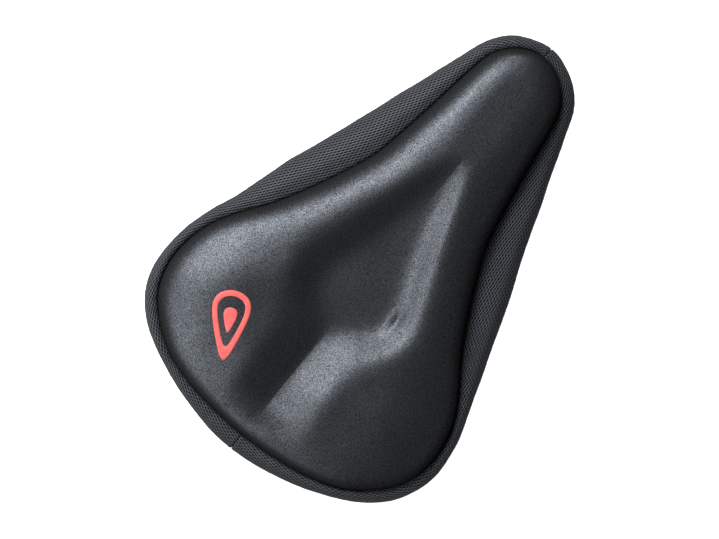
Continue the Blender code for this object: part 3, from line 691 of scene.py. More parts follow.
def air_mesh():
    """The holes follow the same pattern as mesh_hole, with a slight wobble."""
    mat = Shader("air_mesh_fabric")
    place = mat.place()
    u, v = mat.uv()
    c, s = math.cos(HOLE_TURN), math.sin(HOLE_TURN)
    wobble = mat.noise(place, size=7.0, detail=1.0)
    u = mat.add(u, mat.mul(mat.sub(wobble, 0.5), 0.5))
    a = mat.sub(mat.mul(u, c), mat.mul(v, s))
    b = mat.math("DIVIDE", mat.add(mat.mul(u, s), mat.mul(v, c)), HOLE_ACROSS)
    row = mat.math("FLOOR", b)
    b = mat.sub(mat.sub(b, row), 0.5)
    a = mat.math("DIVIDE", a, HOLE_ALONG)
    a = mat.add(a, mat.mul(mat.math("FLOORED_MODULO", row, 2.0), 0.5))
    a = mat.sub(mat.sub(a, mat.math("FLOOR", a)), 0.5)
    b = mat.add(b, mat.mul(a, HOLE_LEAN))

    def squared(value, scale):
        return mat.math("POWER", mat.math("ABSOLUTE", mat.mul(value, scale)), 2.0)

    along = squared(a, HOLE_ALONG / HOLE_HALF_LONG)
    across = squared(b, HOLE_ACROSS / HOLE_HALF_WIDE)
    r = mat.math("SQRT", mat.add(along, across))
    hole = mat.span(r, over=(0.72, 1.12), to=(1.0, 0.0))
    # each yarn between the holes is a bundle of fine filaments
    filament = mat.noise(mat.stretch(mat.combine(a, b, row), (3.0, 9.0, 1.0)), size=1.0)
    fine = mat.noise(place, size=0.35, rough=0.6)
    yarn = mat.span(mat.add(mat.mul(filament, 0.6), mat.mul(fine, 0.5)), over=(0.35, 0.8))
    colour = mat.mix(yarn, low=(0.019, 0.0225, 0.0275), high=(0.088, 0.104, 0.127))
    # painted light and shade: the strands between the rows of holes are painted lighter and the
    # line through each row of holes darker, as though the strands stood up and caught the light
    ridge = mat.span(mat.math("ABSOLUTE", b), over=(0.14, 0.44), to=(0.22, 1.0))
    colour = mat.mix(ridge, low=(0.006, 0.0068, 0.008), high=colour)
    # painted shade: the holes are coloured near black, for the shade deep in the openings
    colour = mat.mix(mat.mul(hole, 0.97), low=colour, high=(0.002, 0.002, 0.0024))
    height = mat.add(mat.mul(hole, -1.0), mat.mul(filament, 0.25))
    return mat.set(
        color=colour,
        roughness=0.62,
        specular=mat.span(hole, over=(0.0, 1.0), to=(0.5, 0.05)),
        sheen=0.12,
        sheen_roughness=0.5,
        normal=mat.bump(height, distance=0.35, strength=0.8),
    )


def woven(name, dark, light, pitch):
    """Woven tape: over-and-under threads in the pattern's two directions."""
    mat = Shader(name)
    u, v = mat.uv()
    place = mat.place()
    over = mat.mul(mat.wave(u, 2 * pitch), mat.wave(v, 2 * pitch))
    ribs = mat.math("ABSOLUTE", mat.wave(v, pitch))
    height = mat.add(mat.mul(ribs, 0.6), mat.mul(over, 0.5))
    worn = mat.noise(place, size=9.0, detail=3.0)
    fine = mat.noise(place, size=0.3)
    # painted light and shade: the colour follows the height of the weave, lighter on the raised
    # threads and darker in the dips between them
    shade = mat.span(mat.add(height, mat.mul(fine, 0.5)), over=(0.0, 1.2))
    colour = mat.mix(shade, dark, light)
    colour = mat.mix(mat.span(worn, over=(0.55, 0.75), to=(0.0, 0.2)), colour, light)
    return mat.set(
        color=colour, roughness=0.7, specular=0.35, sheen=0.15,
        normal=mat.bump(height, distance=0.12, strength=0.8),
    )  # fmt: skip


def grip():
    mat = Shader("grip_knit")
    place = mat.place()
    x, y = mat.split(place)
    knit = mat.mul(mat.wave(x, pitch=0.9), mat.wave(y, pitch=0.7))
    height = mat.add(mat.mul(knit, 0.5), mat.noise(place, size=0.5))
    # painted light and shade: the colour follows the height of the knit, lighter on the raised
    # loops and darker in the dips
    shade = mat.span(height, over=(0.2, 0.9))
    return mat.set(
        color=mat.mix(shade, low=(0.012, 0.012, 0.013), high=(0.05, 0.051, 0.055)),
        roughness=0.82, specular=0.3, sheen=0.2,
        normal=mat.bump(height, distance=0.15, strength=0.8),
    )  # fmt: skip


def plain(name, dark, light, size, rough, bump, specular=0.5, **more):
    """A plain surface: mottled colour, uneven gloss and a fine pitted grain."""
    mat = Shader(name)
    place = mat.place()
    mottle = mat.noise(place, size, detail=4.0, rough=0.6)
    fine = mat.noise(place, size * 0.12, detail=3.0, rough=0.6)
    pits = mat.cells(place, size * 0.08)
    return mat.set(
        color=mat.mix(mat.span(mottle, over=(0.3, 0.7)), dark, light),
        roughness=mat.span(mottle, over=(0.3, 0.7), to=rough),
        specular=specular,
        normal=mat.bump(mat.add(fine, mat.mul(pits, 0.5)), distance=bump, strength=0.6),
        **more,
    )


def print_film():
    """Heat-transfer print: flat colour that picks up the knit under it."""
    mat = Shader("badge_film")
    place = mat.place()
    fine = mat.noise(place, size=0.5, rough=0.6)
    mottle = mat.noise(place, size=3.0, detail=3.0)
    shade = mat.span(mat.add(mat.mul(fine, 0.7), mat.mul(mottle, 0.3)), over=(0.35, 0.68))
    return mat.set(
        color=mat.mix(shade, low=(0.74, 0.085, 0.08), high=(0.95, 0.17, 0.155)),
        roughness=mat.span(fine, over=(0.3, 0.7), to=(0.45, 0.65)),
        specular=0.4,
        normal=mat.bump(fine, distance=0.12, strength=0.6),
    )


def braided():
    mat = Shader("braided_cord")
    u, v = mat.uv()
    one_way = mat.wave(mat.add(u, v), pitch=1.6)
    other_way = mat.wave(mat.sub(u, v), pitch=1.6)
    height = mat.math("MAXIMUM", one_way, other_way)
    fine = mat.noise(mat.place(), size=0.2)
    # painted light and shade: the colour follows the height of the braid, lighter on the strands
    # and darker in the grooves between them
    shade = mat.span(mat.add(height, mat.mul(fine, 0.6)), over=(0.1, 1.4))
    return mat.set(
        color=mat.mix(shade, low=(0.006, 0.006, 0.007), high=(0.045, 0.046, 0.05)),
        roughness=0.6, specular=0.4, sheen=0.2,
        normal=mat.bump(height, distance=0.1, strength=0.7),
    )  # fmt: skip


def steel():
    mat = Shader("spring_wire")
    drawn = mat.noise(mat.stretch(mat.place(), (1.0, 6.0, 1.0)), size=0.6, detail=3.0)
    return mat.set(
        color=mat.mix(drawn, low=(0.42, 0.42, 0.44), high=(0.68, 0.68, 0.7)),
        metallic=1.0,
        roughness=mat.span(drawn, over=(0.3, 0.7), to=(0.18, 0.38)),
        normal=mat.bump(drawn, distance=0.02, strength=0.4),
    )


LYCRA = lycra()
MESH = air_mesh()
GRIP = grip()
SILICONE = plain(
    "silicone_dots", dark=(0.02, 0.02, 0.022), light=(0.035, 0.035, 0.038),
    size=2.0, rough=(0.25, 0.4), bump=0.02,
)  # fmt: skip
TAPE = woven("hem_tape", dark=(0.008, 0.008, 0.009), light=(0.045, 0.046, 0.05), pitch=1.1)
BINDING = woven("binding_tape", dark=(0.01, 0.01, 0.011), light=(0.05, 0.051, 0.055), pitch=0.8)
THREAD = plain(
    "sewing_thread", dark=(0.010, 0.010, 0.011), light=(0.05, 0.051, 0.055),
    size=0.5, rough=(0.4, 0.6), bump=0.05,
)  # fmt: skip
FOAM = plain(
    "moulded_foam", dark=(0.10, 0.10, 0.105), light=(0.17, 0.17, 0.18),
    size=1.2, rough=(0.85, 0.95), bump=0.3, specular=0.2,
)  # fmt: skip
GEL = plain(
    "gel", dark=(0.05, 0.16, 0.42), light=(0.09, 0.26, 0.58),
    size=9.0, rough=(0.12, 0.22), bump=0.02, subsurface=0.3,
)  # fmt: skip
PRINT = print_film()
CORD = braided()
PLASTIC = plain(
    "moulded_plastic", dark=(0.012, 0.012, 0.013), light=(0.022, 0.022, 0.024),
    size=3.0, rough=(0.32, 0.45), bump=0.03,
)  # fmt: skip
STEEL = steel()

# ================================================================ moulded top
# The top, foam and lining are ring grids that run from the seam to a spine on the centreline.
SPINE = (-94.0, 112.0)  # x of its ends
SKIN = 1.1
# Where the cloth turns down at the seam and runs under: distance out from the seam, z
LIP = [(-0.95, 22.2), (-0.5, 22.3), (-0.34, 23.6), (-0.3, 25.0)]
TOP_EDGE = -0.32  # distance of the top's first row from the seam


def to_spine(edge, share):
    """Plan x and y at shares of the way from the edge points to the spine."""
    edge_x = edge[:, :1]
    along = (edge_x - edge_x.min()) / (edge_x.max() - edge_x.min())
    spine = SPINE[0] + (SPINE[1] - SPINE[0]) * along
    return edge_x + (spine - edge_x) * share, edge[:, 1:] * (1 - share)


def top_grid(n, m, power):
    """Points of the moulded top, (n, m + 1, 3), and the outward direction at the seam."""
    seam, wide, _ = stations(even_rows(n)[0])
    x, y = to_spine(seam, (np.linspace(0, 1, m + 1) ** power)[None, :])
    return np.stack([x, y, top_surface(x, y)], 2), unit(wide - seam)


def upward_normals(grid):
    """Normals of a ring grid; it runs clockwise from above, so the plain ones point down."""
    return -grid_normals(grid, closed_n=True)


def ridge_faces(n, m, flip):
    """Faces and vertex numbers of a ring grid whose last column left and right share."""
    ids = np.arange(n * m).reshape(n, m)
    ridge = n * m + np.array([min(k, n - k) for k in range(n)])
    ids = np.concatenate([ids, ridge[:, None]], 1)
    a, b = ids, np.roll(ids, -1, 0)
    quads = np.stack([a[:, :-1], b[:, :-1], b[:, 1:], a[:, 1:]], -1).reshape(-1, 4)
    faces = []
    for quad in quads.tolist():
        face = list(dict.fromkeys(quad))
        if len(face) > 2:
            faces.append(face[::-1] if flip else face)
    return faces, ids


def ridge_shell(first, second, flip=False):
    """Vertices and faces of two ring grids joined along their edge."""
    n = len(first)
    faces, ids = ridge_faces(n, first.shape[1] - 1, flip)
    others, other_ids = ridge_faces(n, second.shape[1] - 1, not flip)
    packed = [np.concatenate([g[:, :-1].reshape(-1, 3), g[: n // 2 + 1, -1]])
              for g in (first, second)]  # fmt: skip
    count = len(packed[0])
    faces += [[i + count for i in face] for face in others]
    for k in range(n):
        k2 = (k + 1) % n
        a0, a1 = ids[k, 0], ids[k2, 0]
        b0, b1 = other_ids[k, 0] + count, other_ids[k2, 0] + count
        faces.append((a0, a1, b1, b0) if flip else (a1, a0, b0, b1))
    return np.concatenate(packed), faces


def make_top():
    n = 520
    grid, out = top_grid(n, 150, power=1.3)
    lip = [
        np.concatenate([grid[:, 0, :2] + out * away, np.full((n, 1), z)], 1) for away, z in LIP
    ]
    grid[:, 0, :2] += out * TOP_EDGE
    outer = np.concatenate([np.stack(lip, 1), grid], 1)
    inner = outer - upward_normals(outer) * SKIN
    inner[:, :, 2] = np.minimum(inner[:, :, 2], outer[:, :, 2] - 0.5)
    turned = len(LIP) + 1  # columns of the lip and the edge go straight inwards
    inner[:, :turned] = outer[:, :turned]
    inner[:, :turned, :2] -= out[:, None, :] * SKIN
    inner[:, -1, 1] = 0
    # the inner side needs fewer columns
    last = outer.shape[1] - 1
    inner = inner[:, list(range(6)) + list(range(9, last - 2, 5)) + [last]]
    verts, faces = ridge_shell(outer, inner)
    obj = mesh_object("top_cover", verts, faces, LYCRA, verts[:, :2])
    register(obj, "top_fabric")


# ================================================================ foam and gel
GEL_CENTRE, GEL_HALF, GEL_TURN = (-72.0, 46.0), (35.0, 22.0), math.radians(-14)
GEL_POWER = 0.84  # of the superellipse outline
GEL_ROOM = 0.5  # play round the gel in its pocket
# Inset of the outline and z, from the bottom to the middle of the top
GEL_LAYERS = [
    (1.2, 25.45), (0.2, 25.9), (0.0, 27.0), (0.0, 29.2), (0.7, 30.8), (2.2, 31.4),
    (12, 31.55), (21.8, 31.55),
]  # fmt: skip
FOAM_GAP = 1.7  # below the top surface
FOAM_BASE, FOAM_EDGE_Z, FOAM_LEAST_Z = 25.3, 25.4, 25.6
POCKET_Z = 32.2


def signed_power(value, power):
    return np.sign(value) * np.abs(value) ** power


def gel_radius(x, y):
    """Less than 1 within the left pocket."""
    c, s = math.cos(GEL_TURN), math.sin(GEL_TURN)
    u = (x - GEL_CENTRE[0]) * c + (y - GEL_CENTRE[1]) * s
    v = -(x - GEL_CENTRE[0]) * s + (y - GEL_CENTRE[1]) * c
    e = 2 / GEL_POWER
    u_share = np.abs(u / (GEL_HALF[0] + GEL_ROOM)) ** e
    v_share = np.abs(v / (GEL_HALF[1] + GEL_ROOM)) ** e
    return (u_share + v_share) ** (1 / e)


def make_foam():
    grid, out = top_grid(200, 30, power=1.6)
    upper = grid - upward_normals(grid) * FOAM_GAP
    upper[:, 0, :2] = grid[:, 0, :2] - out * 2.0
    upper[:, 0, 2] = FOAM_EDGE_Z
    upper[:, 1:, 2] = np.maximum(upper[:, 1:, 2], FOAM_LEAST_Z)
    upper[:, -1, 1] = 0
    # the underside rises into a pocket over each gel pad
    lower = upper.copy()
    lower[..., 2] = FOAM_BASE
    ceiling = np.minimum(POCKET_Z, upper[..., 2] - 1.0)
    for side, _ in SIDES:
        pocket = gel_radius(lower[..., 0], lower[..., 1] * side) < 1
        lower[..., 2] = np.where(pocket, ceiling, lower[..., 2])
    obj = mesh_object("foam_core", *ridge_shell(upper, lower), FOAM)
    register(obj, "foam_pad")


def make_gel(side, word):
    angle = np.linspace(0, TURN, 96, endpoint=False)
    c, s = math.cos(GEL_TURN), math.sin(GEL_TURN)
    loops = []
    for inset, z in GEL_LAYERS:
        u = signed_power(np.cos(angle), GEL_POWER) * (GEL_HALF[0] - inset)
        v = signed_power(np.sin(angle), GEL_POWER) * (GEL_HALF[1] - inset)
        x = GEL_CENTRE[0] + u * c - v * s
        y = GEL_CENTRE[1] + u * s + v * c
        loops.append(np.stack([x, side * y, np.full_like(x, z)], 1))
    obj = mesh_object(f"gel_insert_{word}", *capped(np.stack(loops, 0)), GEL)
    register(obj, f"gel_pad_{word}")


# ================================================================ lining with silicone dots
LINING_Z, LINING_T, LINING_INSET = 24.12, 0.75, 2.1
DOT_PITCH, DOT_MARGIN = 6.4, 7.0
DOT_RINGS = [(1.15, 0.25), (1.15, -0.05), (0.9, -0.38), (0.45, -0.56)]  # radius, z


def lining_z(x, y):
    """Height of the lining's underside."""
    return LINING_Z + 0.10 * waves(x, y, 11, 8, 18, 50)


def inside_seam(x, y, margin):
    x1, y1 = SEAM_LINE.T
    x2, y2 = np.roll(x1, -1), np.roll(y1, -1)
    cross = ((y1 > y) != (y2 > y)) & (x < (x2 - x1) * (y - y1) / (y2 - y1 + 1e-12) + x1)
    return bool(cross.sum() % 2) and float(to_seam(np.array([x]), np.array([y]))[0]) > margin


def make_lining():
    seam, wide, _ = stations(even_rows(240)[0])
    edge = seam - unit(wide - seam) * LINING_INSET
    x, y = to_spine(edge, np.linspace(0, 1, 27)[None, :])
    z = lining_z(x, y)
    lower, upper = np.stack([x, y, z], 2), np.stack([x, y, z + LINING_T], 2)
    verts, faces = ridge_shell(lower, upper, flip=True)
    obj = mesh_object("lining_cloth", verts, faces, GRIP, verts[:, :2])
    register(obj, "grip_lining")


def make_dots():
    """Dots under the lining on a staggered grid, clear of the edge."""
    angle = np.linspace(0, TURN, 12, endpoint=False)
    items = []
    for row in range(-16, 17):
        for column in range(-24, 24):
            x = (column + 0.5 * (row % 2)) * DOT_PITCH
            y = row * DOT_PITCH * 0.866
            if not inside_seam(x, y, DOT_MARGIN):
                continue
            z = float(lining_z(x, y))
            rings = [
                np.stack([x + r * np.cos(angle), y + r * np.sin(angle), np.full(12, z + dz)], 1)
                for r, dz in DOT_RINGS
            ]
            items.append(capped(np.stack(rings, 0)))
    register(many("lining_dots", items, SILICONE))


# ================================================================ side band, air mesh
BAND_T = 2.1
CENTRE_GAP = 0.16  # each half stays this far from the centreline
PUCKER = 0.3  # most that the inner side follows the puckers


def band_lines(rows):
    """Outer section control points (distance from the seam, z), the plan lines and the
    width from the seam to the widest outline."""
    seam, wide, hem = stations(rows)
    width = np.linalg.norm(wide - seam, axis=1)
    under = np.linalg.norm(hem - wide, axis=1)
    end = width - (under - CASING_W - 0.6)
    section = [
        (0.30, 22.2),
        (0.40, 23.6),
        (0.62 + 0.02 * width, 24.8),
        (0.8 + 0.09 * width, 25.55),
        (0.8 + 0.36 * width, 25.75),
        (0.72 * width, 23.1),
        (0.92 * width, 17.8),
        (width, Z_WIDEST),
        (width - 1.2, 6.6),
        (width - 4.4, 2.5),
        (width - 9.0, 0.65),
        (0.5 * (width - 9.0) + 0.5 * end, 0.6),
        (end, 0.6),
    ]
    control = np.stack([np.stack([r + 0 * width, z + 0 * width], 1) for r, z in section], 1)
    return control, seam, wide, hem, width


def section_to_space(seam, wide, hem, width, line):
    """Section points (n, m, 2) to space, folding inwards past the widest point."""
    r, z = line[..., 0], line[..., 1]
    out = seam[:, None, :] + unit(wide - seam)[:, None, :] * r[..., None]
    back = wide[:, None, :] + unit(hem - wide)[:, None, :] * (width[:, None] - r)[..., None]
    xy = np.where((z >= Z_WIDEST)[..., None], out, back)
    return np.concatenate([xy, z[..., None]], -1)


def band_pattern(control, m):
    """Section lines with m points each, and the cloth's length across, 0 at the widest."""
    t = np.linspace(0, 1, m)
    # closer points on the part that shows from above and from the side
    share = t - 0.09 * np.sin(TURN * t)
    lines, across = [], []
    for fine in dense(control, 16):
        s = arc(fine)
        # z falls steadily on all but the first points, which the search leaves out
        widest = np.interp(Z_WIDEST, fine[::-1, 1][:-20], s[::-1][:-20])
        at = share * s[-1]
        line = np.stack([np.interp(at, s, fine[:, 0]), np.interp(at, s, fine[:, 1])], 1)
        lines.append(line)
        # the cloth is stretched where it turns down, which spreads its rows
        step = np.diff(line, axis=0)
        length = np.hypot(*step.T)
        flat = np.clip(np.abs(step[:, 0]) / np.maximum(length, 1e-9), 0.55, 1.0)
        v = np.concatenate([[0], np.cumsum(length * flat)])
        across.append(v - np.interp(widest, at, v))
    return np.array(lines), np.array(across)


def band_lift(side, grid, along, u, v, from_seam, from_hem):
    """Height of the cloth under light tension, without the holes."""
    # puckers that fade away from the top seam and the hem
    phase = 3.0 * waves(u, u * 0, 21 + side, 6, 30, 90)
    top_puckers = np.sin(u * TURN / 9.5 + phase)
    hem_puckers = np.sin(u * TURN / 6.1 + 2 * phase)
    lift = 0.16 * top_puckers * np.exp(-from_seam / 6.0) * np.minimum(1, from_seam / 1.5)
    lift += 0.35 * hem_puckers * np.exp(-from_hem / 9.0) * np.minimum(1, from_hem / 3.0)
    x, y, z = grid[..., 0], grid[..., 1], grid[..., 2]
    lift += 0.22 * waves(x + z * 0.7, y, 31, 10, 20, 60) * np.minimum(1, from_seam / 5)
    # the closing seams: the halves roll in towards each other
    ends = np.minimum(along, along[-1] - along)[:, None]
    roll = np.clip(1 - ends / 1.3, 0, 1) ** 2
    lift -= 0.30 * roll * np.minimum(1, from_seam / 3)
    lift += 0.10 * np.exp(-(((ends - 1.7) / 0.8) ** 2)) * np.minimum(1, from_seam / 3)
    return lift


def off_centre(points, side, gap):
    """Keeps points on their own side of the centreline, at least gap away."""
    points[..., 1] = side * np.maximum(gap, side * points[..., 1])


def make_band(side, word):
    """Makes one half of the band and returns its outer grid."""
    n, m, k = 760, 104, 14  # rows, points across outside and inside
    rows, along = even_rows(n, side, WIDEST)
    control, seam, wide, hem, width = band_lines(rows)
    line, v = band_pattern(control, m)
    grid = section_to_space(seam, wide, hem, width, line)
    normals = grid_normals(grid)
    u = np.broadcast_to(along[:, None], v.shape)
    from_seam, from_hem = v - v[:, :1], v[:, -1:] - v
    lift = band_lift(side, grid, along, u, v, from_seam, from_hem)
    hole = mesh_hole(u, v) * np.minimum(1, from_seam / 1.2) * np.minimum(1, from_hem / 1.0)
    outer = grid + normals * (lift - 0.2 * hole)[..., None]
    off_centre(outer, side, CENTRE_GAP)
    pick = np.linspace(0, m - 1, k).round().astype(int)
    smooth = grid + normals * np.minimum(lift, PUCKER)[..., None]
    inner = smooth[:, pick] - normals[:, pick] * BAND_T
    inner[:, 0, 2] = np.maximum(inner[:, 0, 2], outer[:, 0, 2] - 2.2)
    inner[:, -1, 2] = outer[:, -1, 2] + BAND_T
    off_centre(inner, side, CENTRE_GAP)
    count = n * m
    faces = grid_faces(n, m) + grid_faces(n, k, offset=count, flip=True)
    for row in range(n - 1):
        a, a2 = row * m, (row + 1) * m
        b, b2 = count + row * k, count + (row + 1) * k
        faces.append((a, b, b2, a2))
        faces.append((a + m - 1, a2 + m - 1, b2 + k - 1, b + k - 1))
    for row in (0, n - 1):
        a = range(row * m, (row + 1) * m)
        b = range(count + row * k, count + (row + 1) * k)
        faces += zipper(a, b, np.linspace(0, 1, m), pick / (m - 1))
    verts = np.concatenate([outer.reshape(-1, 3), inner.reshape(-1, 3)])
    uv = np.stack([u, v], -1)
    uv = np.concatenate([uv.reshape(-1, 2), uv[:, pick].reshape(-1, 2)])
    obj = mesh_object(f"mesh_band_{word}", verts, faces, MESH, uv)
    register(obj, f"side_band_{word}")
    return outer


def make_thread(name, items, replaces):
    register(many(name, items, THREAD), replaces)


def make_closing_stitches(word, end_line, outward):
    """Small stitches deep in the slot between the halves. outward is the sign of x."""
    line = end_line.copy()
    line[:, 1] = 0
    line = resample(line[6:-4], spacing=0.5)
    dx, dz = np.gradient(line[:, 0]), np.gradient(line[:, 2])
    normal = outward * unit(np.stack([-dz, np.zeros(len(line)), dx], 1))
    deep = line - normal * 0.7
    items = [
        stitch(deep[k], deep[k + 4], 0.22, normal[k + 2]) for k in range(0, len(line) - 5, 6)
    ]
    make_thread(f"{word}_closing_stitches", items, f"{word}_seam_thread")


# ================================================================ binding tape, top seam thread
# Closed section of the binding: distance from the seam, z
BINDING_SECTION = [
    (-2.5, 21.2), (-2.3, 20.95), (-1.5, 20.85), (-0.2, 20.85), (0.6, 20.9), (0.85, 21.1),
    (0.85, 21.6), (0.6, 21.85), (-0.2, 21.9), (-1.5, 21.9), (-2.3, 21.8), (-2.5, 21.5),
]  # fmt: skip
BINDING_WAVE, BINDING_WAVE_LENGTH = 0.06, 7.0


def make_binding():
    n = 480
    rows, along = even_rows(n)
    seam, wide, _ = stations(rows)
    section = np.array(BINDING_SECTION)
    xy = seam[:, None, :] + unit(wide - seam)[:, None, :] * section[None, :, :1]
    wobble = BINDING_WAVE * np.sin(along * TURN / BINDING_WAVE_LENGTH)
    z = section[None, :, 1] + wobble[:, None]
    verts = np.concatenate([xy, z[..., None]], -1).reshape(-1, 3)
    faces = grid_faces(n, len(section), closed_n=True, closed_m=True)
    uv = np.stack(np.broadcast_arrays(along[:, None], arc(section)[None, :]), -1)
    obj = mesh_object("binding_cloth", verts, faces, BINDING, uv.reshape(-1, 2))
    register(obj, "seam_binding_tape")


def make_top_seam():
    """The row of stitches on the underside of the binding."""
    seam, wide, _ = stations(even_rows(1560)[0])
    run = np.concatenate([seam - unit(wide - seam) * 0.7, np.full((len(seam), 1), 20.62)], 1)
    items = [
        stitch(run[k], run[k + 5], 0.28, (0, 0, -1.0)) for k in range(0, len(run) - 5, 6)
    ]
    make_thread("top_seam_stitches", items, "top_seam_thread")


# ================================================================ hem casing
CASING_WALL = 0.75
CASING_POWER = 2.6  # of the superellipse section
# Row positions: where the casing starts at the rear, its half gap at the nose, the bar tack
CASING_START, NOSE_GAP, TACK_ROW = 0.8, 0.02, 1.15
# Hem stitch rows: distance from the hem's inner edge, z, direction they stand up in
HEM_STITCH_ROWS = [(CASING_W + 0.95, 0.52, -1.0), (CASING_W + 1.2, 3.1, 1.0)]


def hem_line(rows, inset=CASING_W / 2):
    """Plan points at a distance from the hem's inner edge, and the inward direction.

    By default they are the middle of the casing."""
    _, wide, hem = stations(rows)
    under = np.linalg.norm(hem - wide, axis=1)
    inward = unit(hem - wide)
    return wide + inward * (under - inset)[:, None], inward


def casing_rows(start, end, count):
    """Row positions spaced evenly along the casing, and their lengths along it."""
    rows = np.linspace(start, end, 3001)
    s = arc(hem_line(rows)[0])
    even = np.linspace(0, s[-1], count)
    return np.interp(even, s, rows), even


def casing_section(inset, count):
    """Distance across from the middle of the casing, and z."""
    angle = np.linspace(0, TURN, count, endpoint=False)
    power = 2 / CASING_POWER
    u = signed_power(np.cos(angle), power) * (CASING_W / 2 - inset)
    z = CASING_H / 2 + signed_power(np.sin(angle), power) * (CASING_H - 2 * inset) / 2
    return u, z


def make_casing(side, word, start, end):
    n, k = 560, 40
    rows, along = casing_rows(start, end, n)
    centre, inward = hem_line(rows)
    u, z = casing_section(0.0, k)
    # gathers: the drawn cord pulls the tape into soft folds
    phase = 2.5 * waves(along, along * 0, 41 + side, 5, 25, 70)
    fold = (1 + np.sin(along * TURN / 5.6 + phase))[:, None]
    top = np.clip((z - 2.6) / 2.4, 0, 1)
    edge = np.clip(np.abs(u) / (CASING_W / 2), 0, 1) ** 2
    outer_z = z - 0.22 * fold * top
    outer_u = u - np.sign(u) * 0.16 * fold * edge
    low = np.clip((1.2 - outer_z) / 1.2, 0, 1)
    outer_z = outer_z + 0.14 * fold * low

    def placed(across, height):
        across, height = (np.broadcast_to(a, (n, k)) for a in (across, height))
        xy = centre[:, None, :] + inward[:, None, :] * across[..., None]
        points = np.concatenate([xy, height[..., None]], -1)
        off_centre(points, side, 0.15)
        return points.reshape(-1, 3)

    outer = placed(outer_u, outer_z)
    inner = placed(*casing_section(CASING_WALL, k))
    count = n * k
    faces = grid_faces(n, k, closed_m=True)
    faces += grid_faces(n, k, offset=count, closed_m=True, flip=True)
    for first in (0, (n - 1) * k):
        for j in range(k):
            a, a2 = first + j, first + (j + 1) % k
            faces.append((a, a2, count + a2, count + a))
    girth = arc(np.stack([np.append(u, u[0]), np.append(z, z[0])], 1))[:-1]
    uv = np.stack(np.broadcast_arrays(along[:, None], girth[None, :]), -1).reshape(-1, 2)
    obj = mesh_object(
        f"hem_tape_{word}", np.concatenate([outer, inner]), faces, TAPE,
        np.concatenate([uv, uv]),
    )  # fmt: skip
    register(obj, f"hem_casing_{word}")


def make_hem_stitches(side, word, start, end):
    """Rows of stitches on both faces of the band, where it joins the casing."""
    rows = casing_rows(start, end, 1200)[0]
    items = []
    for inset, z, up in HEM_STITCH_ROWS:
        xy = hem_line(rows, inset)[0]
        off_centre(xy, side, 0.5)
        path = resample(np.concatenate([xy, np.full((len(xy), 1), z)], 1), spacing=0.5)
        for j in range(0, len(path) - 6, 7):
            items.append(stitch(path[j], path[j + 5], 0.26, (0, 0, up), segments=7))
    make_thread(f"hem_stitches_{word}", items, f"hem_thread_{word}")


def make_bar_tack(word, row):
    """Close zigzag threads across the casing's rear end, held by two long ones."""
    centre, inward = (a[0] for a in hem_line(np.array([row])))
    across = np.array([inward[0], inward[1], 0.0])
    along = np.array([-inward[1], inward[0], 0.0])
    middle = np.array([centre[0], centre[1], CASING_H + 0.25])
    up = (0, 0, 1.0)
    items = []
    for j in range(11):
        at = (j - 5) / 5 * 3.3
        lean = 0.35 if j % 2 else -0.35
        start = middle + across * (at - lean) - along * 1.0
        end = middle + across * (at + lean) + along * 1.0
        items.append(stitch(start, end, 0.26, up))
    for sign in (-1, 1):
        bar = middle + along * sign * 0.85
        items.append(stitch(bar - across * 3.5, bar + across * 3.5, 0.24, up))
    make_thread(f"tack_stitches_{word}", items, f"bartack_{word}")


def make_hem(side, word):
    if side == 1:
        start, end, tack = CASING_START, LAST - NOSE_GAP, TACK_ROW
    else:
        start, end, tack = LAST + NOSE_GAP, 2 * LAST - CASING_START, 2 * LAST - TACK_ROW
    make_casing(side, word, start, end)
    make_hem_stitches(side, word, start, end)
    make_bar_tack(word, tack)


# ================================================================ drawcord and its end cap
LOCK_X, LOCK_Z = -88.0, 8.0
SPREAD = 1.9  # of each cord from the lock's middle
HIGH, LOW = LOCK_Z + SPREAD, LOCK_Z - SPREAD
CAP_X = -46.0  # rear end of the cap
CORD_END = CAP_X + 7.6
CORD_R = 1.42
# The cord's two ends, from the cap through the lock to the casing and back
LEFT_TAIL = [
    (CORD_END, 0, HIGH), (-56, 0, HIGH), (-70, 0, HIGH), (-84, 0, HIGH), (-95.5, 0, HIGH),
    (-101.5, 1.2, HIGH - 0.7), (-105.5, 3.6, HIGH - 2.6), (-108.8, 7.0, HIGH - 5.0),
    (-110.8, 10.4, 3.2),
]  # fmt: skip
RIGHT_TAIL = [
    (-110.8, -10.4, 2.9), (-108.8, -7.0, 3.9), (-105.5, -3.6, 5.1), (-101.5, -1.2, LOW - 0.3),
    (-95.5, 0, LOW), (-84, 0, LOW), (-70, 0, LOW), (-56, 0, LOW), (CORD_END, 0, LOW),
]  # fmt: skip
# Radius, distance from the cap's rear end; it starts inside the bore
CAP_PROFILE = [
    (0, 8.0), (3.4, 8.0), (3.9, 7.4), (3.9, 0.7), (4.15, 0.15), (4.6, 0.0), (5.0, 0.35),
    (5.2, 1.0), (5.2, 2.2), (5.0, 2.5), (5.0, 2.8), (5.2, 3.1), (5.2, 5.6), (5.0, 6.8),
    (4.6, 8.4), (4.2, 10.3), (3.9, 11.2), (3.3, 11.8), (2.4, 12.0), (0, 12.0),
]  # fmt: skip


def braid(angle, length):
    """Radius of the braid: two sets of strands that wind opposite ways."""
    wind = length * (TURN / 5.2)
    strands = np.maximum(np.sin(angle * 4 + wind), np.sin(angle * 4 - wind))
    return 1 + 0.055 * strands - 0.02


def make_cord():
    loop = hem_line(casing_rows(CASING_START, 2 * LAST - CASING_START, 420)[0])[0]
    loop = np.concatenate([loop, np.full((len(loop), 1), CASING_H / 2)], 1)
    control = np.concatenate([np.array(LEFT_TAIL), loop[::14], np.array(RIGHT_TAIL)])
    path = resample(dense(control, 10), spacing=0.55)
    cord = tube("drawcord_braid", path, CORD_R, CORD, segments=24, shape=braid)
    register(cord, "drawcord")
    cap = lathe("end_cap_bell", CAP_PROFILE, 72, PLASTIC, "x", (CAP_X, 0, LOCK_Z))
    register(cap, "cord_end_cap")


